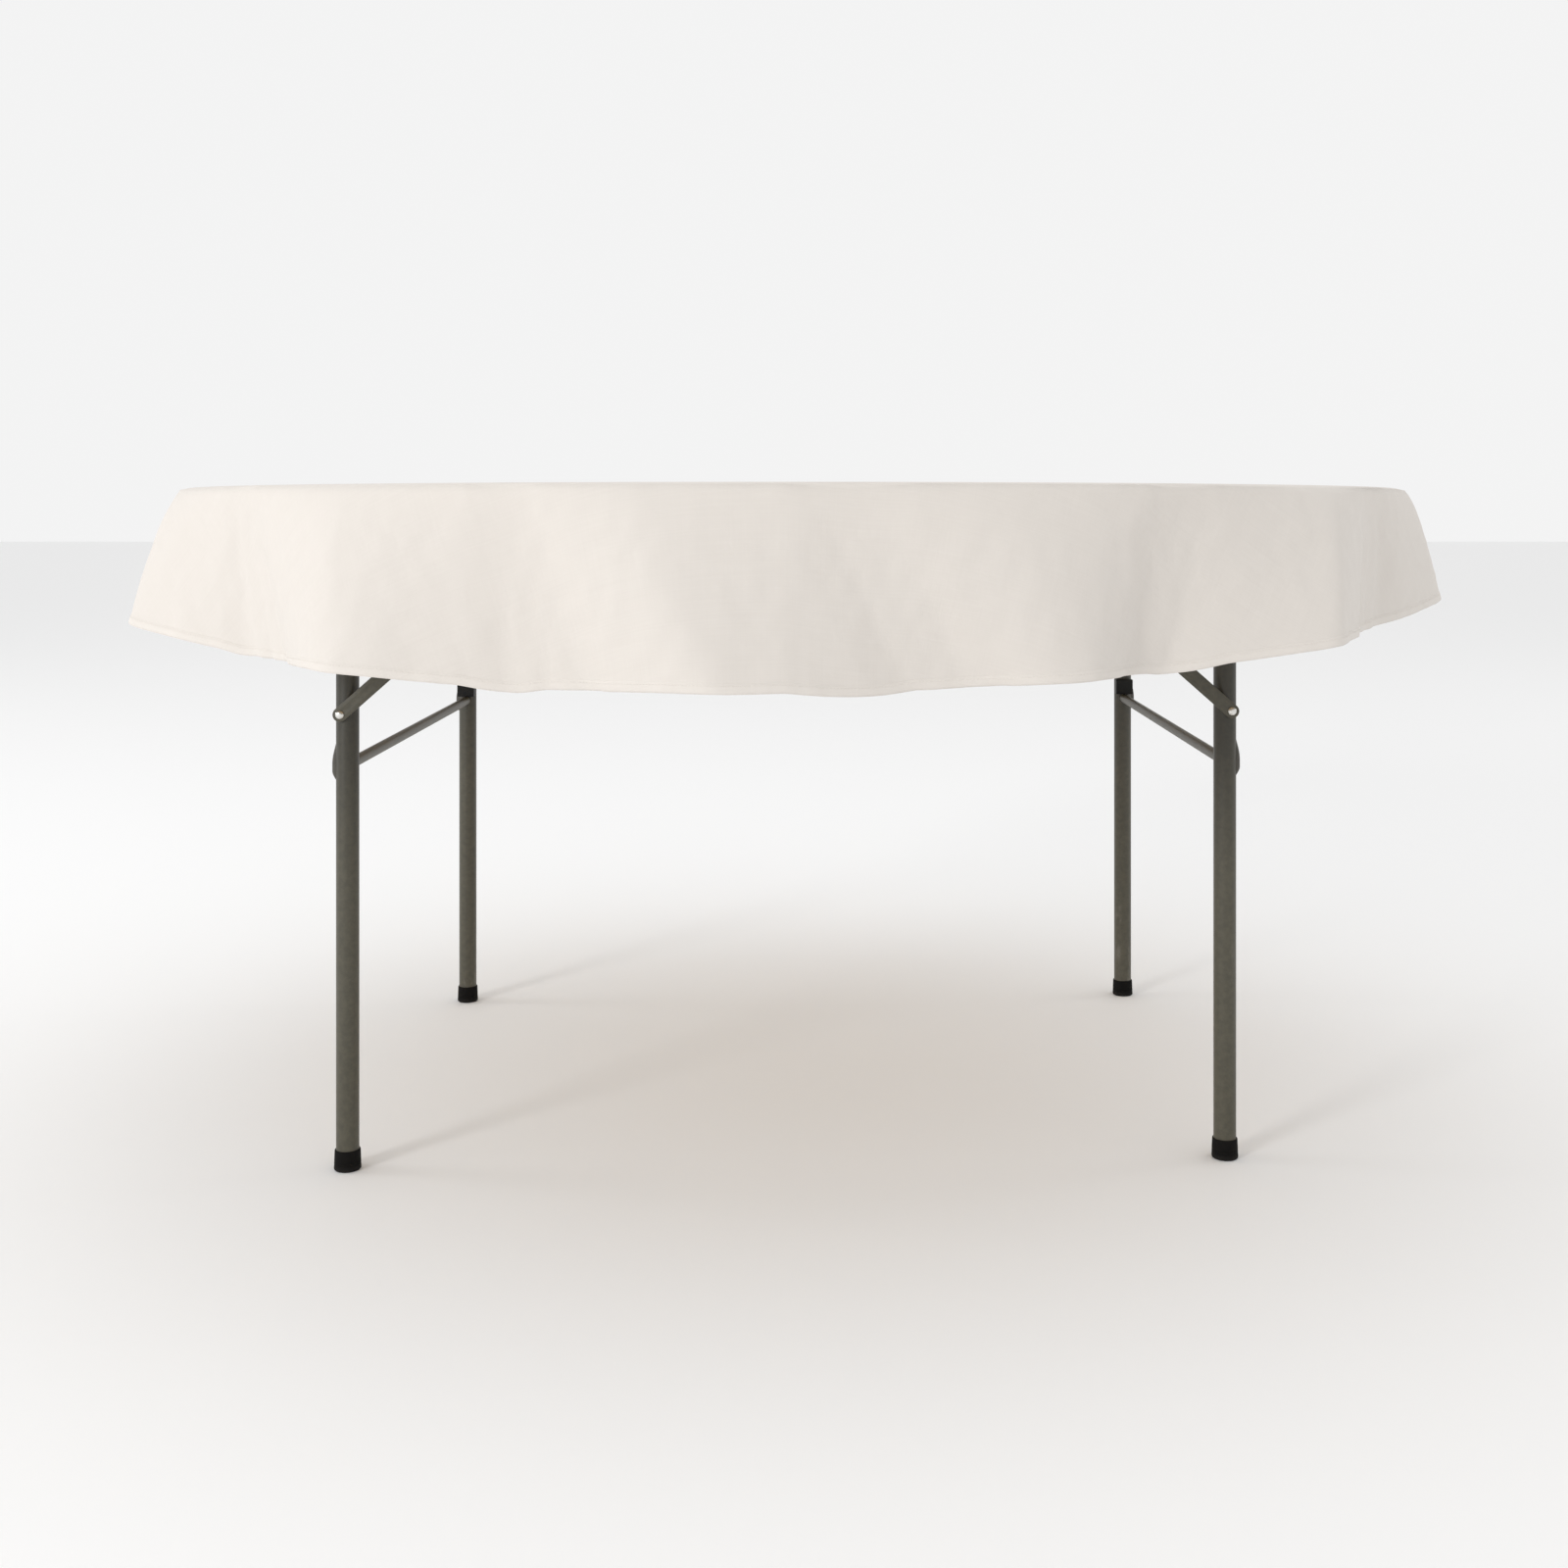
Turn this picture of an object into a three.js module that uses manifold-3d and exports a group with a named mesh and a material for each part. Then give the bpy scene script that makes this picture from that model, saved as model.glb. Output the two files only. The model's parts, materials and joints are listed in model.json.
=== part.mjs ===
// A 60 inch round folding banquet table with a 180 cm round cloth laid over it.
// Millimetres, +Z up. The origin is on the floor under the middle of the table, and -Y is the front.
// The two leg frames are half a turn apart about Z, so a frame is built for the left, and the right
// one is the same group turned half round. Only the back legs have a rest block.
import * as THREE from 'three';
import { mergeVertices } from 'three/addons/utils/BufferGeometryUtils.js';
import Module from 'manifold-3d';

const wasm = await Module();
wasm.setup();

// ---------------------------------------------------------------- driving dimensions

const GAP = 0.3;                 // left between pieces that touch

const TOP_HEIGHT = 762;          // floor to the top face of the bare table
const TOP_RADIUS = 762;          // to the outside of the edge trim
const PANEL_THICKNESS = 19;
const TRIM_WIDTH = 9.6;
const TRIM_DEPTH = 32;
const TRIM_ROUND = 4;
const TOP_SIDES = 64;

const RUNNER = { length: 1150, width: 170, thickness: 22, y: 344, corner: 18 };
const BATTEN_WIDTH = 70;

const LEG_X = 495;               // hinge line of a leg frame, from the middle
const LEG_SPACING = 708;         // between the two legs of a frame
const FRAME_SHIFT = 18.5;        // the frames sit this far apart from the middle, to nest when folded
const HINGE_HEIGHT = 703;
const TUBE_RADIUS = 12.7;
const TUBE_WALL = 1.2;
const BEND_RADIUS = 50;
const TUBE_END = 4.6;            // the tube stops this far above the floor, inside its cap

const CAP = { height: 23, floor: 4.3, topRadius: 14.2, baseRadius: 15, flatRadius: 12.5 };
const CROSSBAR = { radius: 6.35, height: 452 };
const BLOCK = { width: 25, height: 22, proud: 6 };
const BUMPER = { width: 9, proud: 4.5, low: 434, peak: 448, high: 495 };

const LINK = { width: 16, thickness: 3 };
const LOWER_LINK_OFFSET = 13.2;  // from a leg's axis out to the near face of its lower link
const UPPER_LINK_OFFSET = 16.6;
const EAR_OFFSET = 20;
const RIVET = { shank: 3, head: 5.5, thick: 2 };
const HOLE_RADIUS = RIVET.shank + GAP;
// Pivots seen from the hinge line: x runs towards the middle of the table and z runs up.
const LEG_PIVOT = { x: -5, z: -193 };
const TOP_PIVOT = { x: 208, z: -5 };

const SADDLE = { width: 24, thickness: 2.5, flange: 20, inset: 64 };
const BRACKET = { length: 34, thickness: 3, flange: 25, below: 11 };

const CLOTH_RADIUS = 889;
const CLOTH_THICKNESS = 1.5;
const CLOTH_CENTRE = { x: -8, y: -72 };   // laid a little towards the front
const FLARE_VALLEY = 4;
// The folds over half a turn. Angles are in degrees from the front: where each ridge, and then the
// valley after it, meets the rim and the hem. The flare is how far the ridge's hem stands out.
const FOLDS = [
  { ridge: [-85, -84], flare: 72, valley: [-73, -72] },
  { ridge: [-62, -60], flare: 88, valley: [-48, -44] },
  { ridge: [-34, -31], flare: 72, valley: [-19.7, -16.7] },
  { ridge: [-10.8, -5], flare: 54, valley: [4.7, 10.3] },
  { ridge: [16.4, 20], flare: 54, valley: [30, 26.5] },
  { ridge: [46, 40.5], flare: 82, valley: [57, 55] },
  { ridge: [70, 71], flare: 68, valley: [83, 84] },
];
const CLOTH_DIRECTIONS = 120;
const SKIRT_RINGS = 4;

// ---------------------------------------------------------------- what follows from them

const UNDERSIDE = TOP_HEIGHT - PANEL_THICKNESS;
const RUNNER_BOTTOM = UNDERSIDE - GAP - RUNNER.thickness;
const MOUNT_FACE = RUNNER_BOTTOM - GAP;
// Folded up, a leg lies level, and its pivot is then a quarter turn on about the hinge line.
const FOLDED_PIVOT = { x: -LEG_PIVOT.z, z: LEG_PIVOT.x };
const REACH = Math.hypot(TOP_PIVOT.x - LEG_PIVOT.x, TOP_PIVOT.z - LEG_PIVOT.z);
const REACH_ANGLE = Math.atan2(TOP_PIVOT.z - LEG_PIVOT.z, TOP_PIVOT.x - LEG_PIVOT.x);
// Open, the two links make one straight line, and folded they lie side by side.
const LINK_DIFFERENCE = TOP_PIVOT.x - FOLDED_PIVOT.x;
const LOWER_LINK = (REACH + LINK_DIFFERENCE) / 2;
const UPPER_LINK = (REACH - LINK_DIFFERENCE) / 2;

// ---------------------------------------------------------------- finishes

const finish = (color, roughness, metalness = 0) =>
  new THREE.MeshStandardMaterial({ color, roughness, metalness });
const LINEN = finish(0xf0ebe5, 0.9);
const BIRCH = finish(0xc9a877, 0.6);
const VINYL = finish(0x3a3632, 0.5);
const POPLAR = finish(0xb99b6c, 0.7);
const PAINTED_STEEL = finish(0x595550, 0.45, 0.4);
const PLATED_STEEL = finish(0xc4c3bc, 0.3, 1);
const RUBBER = finish(0x0d0b0a, 0.8);
const NYLON = finish(0x141414, 0.5);

// ---------------------------------------------------------------- helpers

const table = new THREE.Group();

function add(parent, name, geometry, material) {
  const mesh = new THREE.Mesh(geometry, material);
  mesh.name = name;
  parent.add(mesh);
  return mesh;
}

function toSolid(geometry) {
  const bare = geometry.clone();
  bare.deleteAttribute('normal');
  bare.deleteAttribute('uv');
  const merged = mergeVertices(bare, 1e-4);
  return new wasm.Manifold(new wasm.Mesh({
    numProp: 3,
    vertProperties: new Float32Array(merged.attributes.position.array),
    triVerts: new Uint32Array(merged.index.array),
  }));
}

function toGeometry(solid) {
  const { vertProperties, triVerts } = solid.getMesh();
  const geometry = new THREE.BufferGeometry();
  geometry.setAttribute('position', new THREE.BufferAttribute(vertProperties, 3));
  geometry.setIndex(new THREE.BufferAttribute(triVerts, 1));
  geometry.computeVertexNormals();
  return geometry;
}

const cut = (geometry, ...tools) =>
  toGeometry(tools.reduce((solid, tool) => solid.subtract(toSolid(tool)), toSolid(geometry)));

const join = (first, second) => toGeometry(toSolid(first).add(toSolid(second)));

// A solid turned about the Z axis from [radius, height] points that run up its outside.
function turned(points, sides) {
  const profile = points.map(([radius, height]) => new THREE.Vector2(radius, height));
  return new THREE.LatheGeometry(profile, sides).rotateX(Math.PI / 2);
}

// A cylinder along Y from one y to another.
const rodAlongY = (radius, from, to, sides) =>
  new THREE.CylinderGeometry(radius, radius, to - from, sides).translate(0, (from + to) / 2, 0);

// An outline drawn in x and z, made into a plate along Y from one y to another.
function plateAlongY(shape, from, to) {
  const options = { depth: to - from, bevelEnabled: false, curveSegments: 4 };
  return new THREE.ExtrudeGeometry(shape, options).rotateX(Math.PI / 2).translate(0, to, 0);
}

function roundHole(x, y, radius) {
  const hole = new THREE.Path();
  hole.absarc(x, y, radius, 0, 2 * Math.PI, true);
  return hole;
}

// ---------------------------------------------------------------- the top

function tabletopPanel() {
  const radius = TOP_RADIUS - TRIM_WIDTH - GAP;
  const disc = new THREE.CylinderGeometry(radius, radius, PANEL_THICKNESS, TOP_SIDES);
  return disc.rotateX(Math.PI / 2).translate(0, 0, TOP_HEIGHT - PANEL_THICKNESS / 2);
}

function edgeTrim() {
  const inner = TOP_RADIUS - TRIM_WIDTH;
  const low = TOP_HEIGHT - TRIM_DEPTH;
  const half = TRIM_ROUND * (1 - Math.SQRT1_2);
  const section = [
    [inner, low],
    [TOP_RADIUS - TRIM_ROUND, low],
    [TOP_RADIUS - half, low + half],
    [TOP_RADIUS, low + TRIM_ROUND],
    [TOP_RADIUS, TOP_HEIGHT - TRIM_ROUND],
    [TOP_RADIUS - half, TOP_HEIGHT - half],
    [TOP_RADIUS - TRIM_ROUND, TOP_HEIGHT],
    [inner, TOP_HEIGHT],
    [inner, low],
  ];
  return turned(section, TOP_SIDES);
}

function runner() {
  const { length, width, thickness, corner } = RUNNER;
  const plan = new THREE.Shape();
  plan.moveTo(corner - length / 2, -width / 2);
  plan.lineTo(length / 2 - corner, -width / 2);
  plan.absarc(length / 2 - corner, corner - width / 2, corner, -Math.PI / 2, 0);
  plan.absarc(length / 2 - corner, width / 2 - corner, corner, 0, Math.PI / 2);
  plan.absarc(corner - length / 2, width / 2 - corner, corner, Math.PI / 2, Math.PI);
  plan.absarc(corner - length / 2, corner - width / 2, corner, Math.PI, 1.5 * Math.PI);
  return new THREE.ExtrudeGeometry(plan, { depth: thickness, bevelEnabled: false, curveSegments: 4 });
}

function centreBatten() {
  const span = 2 * RUNNER.y - RUNNER.width - 2 * GAP;
  const board = new THREE.BoxGeometry(BATTEN_WIDTH, span, RUNNER.thickness);
  return board.translate(0, 0, RUNNER_BOTTOM + RUNNER.thickness / 2);
}

function makeTop() {
  add(table, 'tabletop_panel', tabletopPanel(), BIRCH);
  add(table, 'edge_trim', edgeTrim(), VINYL);
  add(table, 'front_runner', runner(), POPLAR).position.set(0, -RUNNER.y, RUNNER_BOTTOM);
  add(table, 'back_runner', runner(), POPLAR).position.set(0, RUNNER.y, RUNNER_BOTTOM);
  add(table, 'centre_batten', centreBatten(), POPLAR);
}

// ---------------------------------------------------------------- leg frames
// A frame's group sits on its hinge line, with x towards the middle of the table.

// A path that is only ever sampled at its own stations, so straight runs stay one step long.
class StationPath extends THREE.Curve {
  constructor(stations) {
    super();
    this.stations = stations;
    this.steps = stations.length - 1;
  }

  getPointAt(u) {
    return this.stations[Math.round(u * this.steps)].point.clone();
  }

  getTangentAt(u) {
    return this.stations[Math.round(u * this.steps)].tangent.clone();
  }
}

// Up one leg, round a bend, along the hinge line, round the other bend and down.
function legPath() {
  const foot = TUBE_END - HINGE_HEIGHT;
  const bendSteps = 5;
  const stations = [];
  const station = (y, z, dy, dz) =>
    stations.push({ point: new THREE.Vector3(0, y, z), tangent: new THREE.Vector3(0, dy, dz) });
  station(-LEG_SPACING / 2, foot, 0, 1);
  for (const end of [-1, 1]) {
    for (let i = 0; i <= bendSteps; i++) {
      const turn = (end < 0 ? i : bendSteps - i) / bendSteps * Math.PI / 2;
      const y = end * (LEG_SPACING / 2 - BEND_RADIUS * (1 - Math.cos(turn)));
      const z = -BEND_RADIUS * (1 - Math.sin(turn));
      station(y, z, Math.sin(turn), -end * Math.cos(turn));
    }
  }
  station(LEG_SPACING / 2, foot, 0, -1);
  return new StationPath(stations);
}

function legTube() {
  const section = new THREE.Shape();
  section.absarc(0, 0, TUBE_RADIUS, 0, 2 * Math.PI);
  section.holes.push(roundHole(0, 0, TUBE_RADIUS - TUBE_WALL));
  const path = legPath();
  const tube = new THREE.ExtrudeGeometry(section, {
    extrudePath: path, steps: path.steps, curveSegments: 6, bevelEnabled: false,
  });
  const tools = [];
  for (const end of [-1, 1]) {
    const axis = end * LEG_SPACING / 2;
    const rivetHole = rodAlongY(HOLE_RADIUS, axis - 20, axis + 20, 10);
    tools.push(rivetHole.translate(LEG_PIVOT.x, 0, LEG_PIVOT.z));
    const barHole = rodAlongY(CROSSBAR.radius + GAP, Math.min(axis, axis - 20 * end),
      Math.max(axis, axis - 20 * end), 12);
    tools.push(barHole.translate(0, 0, CROSSBAR.height - HINGE_HEIGHT));
  }
  return cut(tube, ...tools);
}

function crossbar() {
  const half = LEG_SPACING / 2 - 9;
  return rodAlongY(CROSSBAR.radius, -half, half, 12).translate(0, 0, CROSSBAR.height - HINGE_HEIGHT);
}

function footCap() {
  const inside = TUBE_RADIUS + GAP;
  return turned([
    [0, 0], [CAP.flatRadius, 0], [CAP.baseRadius, 2.5], [CAP.topRadius, CAP.height],
    [inside, CAP.height], [inside, CAP.floor], [0, CAP.floor],
  ], 16);
}

// Heads on both sides: one outside the lower link, one on the far side of the tube.
function legRivet() {
  const farHead = -(TUBE_RADIUS + GAP);
  const nearHead = LOWER_LINK_OFFSET + LINK.thickness + GAP;
  return turned([
    [0, farHead - RIVET.thick], [RIVET.head * 0.7, farHead - RIVET.thick],
    [RIVET.head, farHead - RIVET.thick / 2], [RIVET.head, farHead], [RIVET.shank, farHead],
    [RIVET.shank, nearHead], [RIVET.head, nearHead], [RIVET.head, nearHead + 1],
    [RIVET.head * 0.6, nearHead + 2.5], [0, nearHead + 2.5],
  ], 12);
}

// A rivet with one head, from a hidden flush end out to a low dome.
function shortRivet(from, headAt) {
  return turned([
    [0, from], [RIVET.shank, from], [RIVET.shank, headAt], [RIVET.head, headAt],
    [RIVET.head, headAt + 0.8], [RIVET.head * 0.6, headAt + RIVET.thick - GAP],
    [0, headAt + RIVET.thick - GAP],
  ], 12);
}

const tubeCutter = () => {
  const length = 140;
  const radius = TUBE_RADIUS + GAP;
  const rod = new THREE.CylinderGeometry(radius, radius, length, 24).rotateX(Math.PI / 2);
  return rod.translate(0, 0, CROSSBAR.height - HINGE_HEIGHT);
};

// A long low wedge on the outer side of a leg, thickest near its lower end.
function legBumper() {
  const surface = -(TUBE_RADIUS - 3);
  const proud = -(TUBE_RADIUS + BUMPER.proud);
  const level = (height) => height - HINGE_HEIGHT;
  const side = new THREE.Shape();
  side.moveTo(surface, level(BUMPER.low));
  side.lineTo(surface, level(BUMPER.high));
  side.lineTo(-(TUBE_RADIUS + 1), level(BUMPER.high - 2));
  side.lineTo(proud, level(BUMPER.peak + 6));
  side.lineTo(proud, level(BUMPER.peak - 6));
  side.lineTo(proud + 2, level(BUMPER.low));
  return cut(plateAlongY(side, -BUMPER.width / 2, BUMPER.width / 2), tubeCutter());
}

// A nylon block on the inner side of a back leg, sitting on the crossbar.
function restBlock(end) {
  const near = TUBE_RADIUS - 5;
  const far = TUBE_RADIUS + BLOCK.proud;
  const low = CROSSBAR.height + CROSSBAR.radius + GAP - HINGE_HEIGHT;
  const block = new THREE.BoxGeometry(BLOCK.width, far - near, BLOCK.height);
  block.translate(0, -end * (near + far) / 2, low + BLOCK.height / 2);
  return cut(block, tubeCutter());
}

// A flat link along x from its own pivot at the origin, with a hole at each end that has a pin.
function link(length, holes) {
  const half = LINK.width / 2;
  const outline = new THREE.Shape();
  outline.absarc(0, 0, half, Math.PI / 2, 1.5 * Math.PI);
  outline.absarc(length, 0, half, -Math.PI / 2, Math.PI / 2);
  outline.holes.push(...holes.map((x) => roundHole(x, 0, HOLE_RADIUS)));
  return plateAlongY(outline, -LINK.thickness / 2, LINK.thickness / 2);
}

// A strap round the hinge line, with a flange each side against the runner.
function hingeSaddle() {
  const { width, thickness, flange } = SADDLE;
  const inner = TUBE_RADIUS + 0.5;
  const outer = inner + thickness;
  const flat = MOUNT_FACE - HINGE_HEIGHT;
  const strap = new THREE.Shape();
  strap.moveTo(-outer - flange, flat);
  strap.lineTo(-outer - flange, flat - thickness);
  strap.lineTo(-outer, flat - thickness);
  strap.lineTo(-outer, 0);
  strap.absarc(0, 0, outer, Math.PI, 2 * Math.PI);
  strap.lineTo(outer, flat - thickness);
  strap.lineTo(outer + flange, flat - thickness);
  strap.lineTo(outer + flange, flat);
  strap.lineTo(inner, flat);
  strap.lineTo(inner, 0);
  strap.absarc(0, 0, inner, 0, -Math.PI, true);
  strap.lineTo(-inner, flat);
  return plateAlongY(strap, -width / 2, width / 2);
}

// An ear that hangs beside the upper link, and a flange that screws up into the runner.
function braceBracket(out) {
  const flat = MOUNT_FACE - HINGE_HEIGHT;
  const half = BRACKET.length / 2;
  const low = TOP_PIVOT.z - BRACKET.below;
  const ear = new THREE.Shape();
  ear.moveTo(-half, flat);
  ear.lineTo(-half, flat - 6);
  ear.absarc(0, low + BRACKET.below, BRACKET.below, Math.PI, 2 * Math.PI);
  ear.lineTo(half, flat - 6);
  ear.lineTo(half, flat);
  ear.holes.push(roundHole(0, TOP_PIVOT.z, HOLE_RADIUS));
  const plate = plateAlongY(ear, 0, BRACKET.thickness);
  const flange = new THREE.BoxGeometry(BRACKET.length, BRACKET.flange, BRACKET.thickness);
  flange.translate(0, BRACKET.flange / 2, flat - BRACKET.thickness / 2);
  const bracket = join(plate, flange).translate(0, EAR_OFFSET, 0);
  return out > 0 ? bracket : bracket.rotateZ(Math.PI);
}

const alongY = (geometry, out) => geometry.rotateX(-out * Math.PI / 2);

function makeFrame(side) {
  const frame = new THREE.Group();
  frame.position.set(-LEG_X, -FRAME_SHIFT, HINGE_HEIGHT);
  add(frame, `${side}_leg_tube`, legTube(), PAINTED_STEEL);
  add(frame, `${side}_crossbar`, crossbar(), PAINTED_STEEL);
  for (const out of [-1, 1]) {
    const isFront = (side === 'left') === (out < 0);
    const leg = makeLeg(frame, `${side}_${isFront ? 'front' : 'back'}`, out);
    if (!isFront) add(leg, `${side}_back_rest_block`, restBlock(out), NYLON);
  }
  const whole = new THREE.Group();
  whole.add(frame);
  whole.rotation.z = side === 'left' ? 0 : Math.PI;
  table.add(whole);
}

// One leg's fittings and its folding brace, as a group. out is the leg's side of the frame, along y.
function makeLeg(frame, name, out) {
  const leg = new THREE.Group();
  leg.position.y = out * LEG_SPACING / 2;
  frame.add(leg);
  add(leg, `${name}_foot_cap`, footCap(), RUBBER).position.z = -HINGE_HEIGHT;
  add(leg, `${name}_leg_rivet`, alongY(legRivet(), out), PLATED_STEEL)
    .position.set(LEG_PIVOT.x, 0, LEG_PIVOT.z);
  add(leg, `${name}_leg_bumper`, legBumper(), NYLON);

  const lower = add(leg, `${name}_lower_brace`, link(LOWER_LINK, [0]), PAINTED_STEEL);
  lower.position.set(LEG_PIVOT.x, out * (LOWER_LINK_OFFSET + LINK.thickness / 2), LEG_PIVOT.z);
  lower.rotation.y = -REACH_ANGLE;
  const upper = add(leg, `${name}_upper_brace`, link(UPPER_LINK, [0, UPPER_LINK]), PAINTED_STEEL);
  upper.position.set(TOP_PIVOT.x, out * (UPPER_LINK_OFFSET + LINK.thickness / 2), TOP_PIVOT.z);
  upper.rotation.y = Math.PI - REACH_ANGLE;

  const linkFace = UPPER_LINK_OFFSET + LINK.thickness;
  const knee = add(leg, `${name}_knee_rivet`,
    alongY(shortRivet(UPPER_LINK_OFFSET + GAP, linkFace + GAP), out), PLATED_STEEL);
  knee.position.set(LEG_PIVOT.x + LOWER_LINK * Math.cos(REACH_ANGLE), 0,
    LEG_PIVOT.z + LOWER_LINK * Math.sin(REACH_ANGLE));

  const bracket = add(leg, `${name}_brace_bracket`, braceBracket(out), PAINTED_STEEL);
  bracket.position.x = TOP_PIVOT.x;
  const earFace = EAR_OFFSET + BRACKET.thickness;
  add(leg, `${name}_bracket_pin`,
    alongY(shortRivet(UPPER_LINK_OFFSET + GAP, earFace + GAP), out), PLATED_STEEL)
    .position.set(TOP_PIVOT.x, 0, TOP_PIVOT.z);
  add(leg, `${name}_hinge_saddle`, hingeSaddle(), PAINTED_STEEL).position.y = -out * SADDLE.inset;
  return leg;
}

// ---------------------------------------------------------------- the cloth

const radians = (degrees) => degrees * Math.PI / 180;

// How far the folds stand out in one direction, from the rim (down is 0) to the hem (down is 1).
function foldFlare(angle, down) {
  const between = ([rim, hem]) => rim + (hem - rim) * down;
  const marks = [0, 180, 360].flatMap((turn) => FOLDS.flatMap(({ ridge, valley, flare }) => [
    { at: between(ridge) + turn, flare }, { at: between(valley) + turn, flare: 0 }]));
  const turned = (angle - marks[0].at + 720) % 360 + marks[0].at;
  const next = marks.findIndex(({ at }) => at > turned);
  const [before, after] = [marks[next - 1], marks[next]];
  const part = (turned - before.at) / (after.at - before.at);
  // Round ridges and tight valleys.
  const fromRidge = before.flare ? part : 1 - part;
  const ridgeFlare = before.flare || after.flare;
  return FLARE_VALLEY + (ridgeFlare - FLARE_VALLEY) * Math.cos(Math.PI / 2 * fromRidge);
}

// How much cloth hangs past the rim, in a direction measured from the front.
function hangingLength(angle) {
  const [x, y] = [Math.sin(angle), -Math.cos(angle)];
  const along = CLOTH_CENTRE.x * x + CLOTH_CENTRE.y * y;
  const across = CLOTH_CENTRE.x * y - CLOTH_CENTRE.y * x;
  return along + Math.sqrt(CLOTH_RADIUS ** 2 - across ** 2) - TOP_RADIUS;
}

// The underside of the cloth in one direction, from the flat top out over the rim to the hem.
function clothProfile(degrees) {
  const profile = [
    [TOP_RADIUS - 60, TOP_HEIGHT + 0.5],
    [TOP_RADIUS - 4, TOP_HEIGHT + 0.5],
    [TOP_RADIUS - 0.2, TOP_HEIGHT - 0.4],
    [TOP_RADIUS + 1.3, TOP_HEIGHT - 5],
  ];
  const hanging = hangingLength(radians(degrees)) - 6;
  const shortness = (hanging / hangingLength(0)) ** 0.35;
  const [rimRadius] = profile[profile.length - 1];
  const step = hanging / SKIRT_RINGS;
  for (let i = 1; i <= SKIRT_RINGS; i++) {
    const down = i / SKIRT_RINGS;
    const [lastRadius, lastHeight] = profile[profile.length - 1];
    const flare = Math.min(shortness * foldFlare(degrees, down), 0.72 * hanging);
    const radius = rimRadius + flare * down ** 0.85;
    profile.push([radius, lastHeight - Math.sqrt(step ** 2 - (radius - lastRadius) ** 2)]);
  }
  return profile;
}

// The same profile moved outwards by the cloth's thickness.
function offsetProfile(profile) {
  return profile.map(([radius, height], i) => {
    const before = profile[Math.max(i - 1, 0)];
    const after = profile[Math.min(i + 1, profile.length - 1)];
    const run = after[0] - before[0];
    const fall = before[1] - after[1];
    const length = Math.hypot(run, fall);
    return [radius + CLOTH_THICKNESS * fall / length, height + CLOTH_THICKNESS * run / length];
  });
}

function tablecloth() {
  const count = CLOTH_DIRECTIONS;
  const directions = Array.from({ length: count }, (_, i) => 360 * i / count);
  const inside = directions.map(clothProfile);
  const outside = inside.map(offsetProfile);
  const rings = inside[0].length;
  const positions = [0, 0, TOP_HEIGHT + 0.5, 0, 0, TOP_HEIGHT + 0.5 + CLOTH_THICKNESS];
  for (const surface of [inside, outside]) {
    for (let ring = 0; ring < rings; ring++) {
      for (let i = 0; i < count; i++) {
        const [radius, height] = surface[i][ring];
        const angle = radians(directions[i]);
        positions.push(radius * Math.sin(angle), -radius * Math.cos(angle), height);
      }
    }
  }
  const vertex = (surface, ring, i) => 2 + (surface * rings + ring) * count + (i % count);
  const faces = [];
  for (let i = 0; i < count; i++) {
    faces.push(0, vertex(0, 0, i + 1), vertex(0, 0, i));
    faces.push(1, vertex(1, 0, i), vertex(1, 0, i + 1));
    for (let ring = 0; ring < rings - 1; ring++) {
      const [a, b] = [vertex(0, ring, i), vertex(0, ring, i + 1)];
      const [c, d] = [vertex(0, ring + 1, i), vertex(0, ring + 1, i + 1)];
      faces.push(a, b, c, b, d, c);
      const [e, f] = [vertex(1, ring, i), vertex(1, ring, i + 1)];
      const [g, h] = [vertex(1, ring + 1, i), vertex(1, ring + 1, i + 1)];
      faces.push(e, g, f, f, g, h);
    }
    const [p, q] = [vertex(0, rings - 1, i), vertex(0, rings - 1, i + 1)];
    const [r, s] = [vertex(1, rings - 1, i), vertex(1, rings - 1, i + 1)];
    faces.push(p, q, r, q, s, r);
  }
  const geometry = new THREE.BufferGeometry();
  geometry.setAttribute('position', new THREE.Float32BufferAttribute(positions, 3));
  geometry.setIndex(faces);
  geometry.computeVertexNormals();
  return geometry;
}

makeTop();
makeFrame('left');
makeFrame('right');
add(table, 'tablecloth', tablecloth(), LINEN);

export default table;
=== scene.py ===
"""The looks of a round folding table with a cloth laid over it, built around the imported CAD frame.

Lengths are in metres, +Z is up and -Y is the front. Angles round the table run from the front
towards +X.
"""
import json
import math

import bmesh
import bpy
import numpy as np
from mathutils import Matrix, Vector


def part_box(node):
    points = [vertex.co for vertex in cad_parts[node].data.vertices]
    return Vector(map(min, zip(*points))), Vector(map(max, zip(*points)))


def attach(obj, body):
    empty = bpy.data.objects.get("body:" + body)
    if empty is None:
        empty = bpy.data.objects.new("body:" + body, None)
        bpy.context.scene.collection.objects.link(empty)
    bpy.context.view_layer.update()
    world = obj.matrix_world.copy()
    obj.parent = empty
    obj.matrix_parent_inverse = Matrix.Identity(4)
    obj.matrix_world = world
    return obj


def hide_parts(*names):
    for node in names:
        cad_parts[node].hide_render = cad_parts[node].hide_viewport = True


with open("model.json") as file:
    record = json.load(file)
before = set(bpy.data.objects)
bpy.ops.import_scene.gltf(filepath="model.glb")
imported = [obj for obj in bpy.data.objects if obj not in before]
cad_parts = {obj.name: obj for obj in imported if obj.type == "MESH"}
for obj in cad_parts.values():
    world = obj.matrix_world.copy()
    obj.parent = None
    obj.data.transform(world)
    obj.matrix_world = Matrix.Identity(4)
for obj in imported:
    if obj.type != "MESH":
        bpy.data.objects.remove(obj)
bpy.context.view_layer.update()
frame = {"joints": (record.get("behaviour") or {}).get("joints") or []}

MM = 0.001
SIDES = ("left", "right")
ENDS = ("front", "back")


# -------------------- sizes read from the frame

def middle(node):
    low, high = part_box(node)
    return (low + high) / 2


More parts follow.
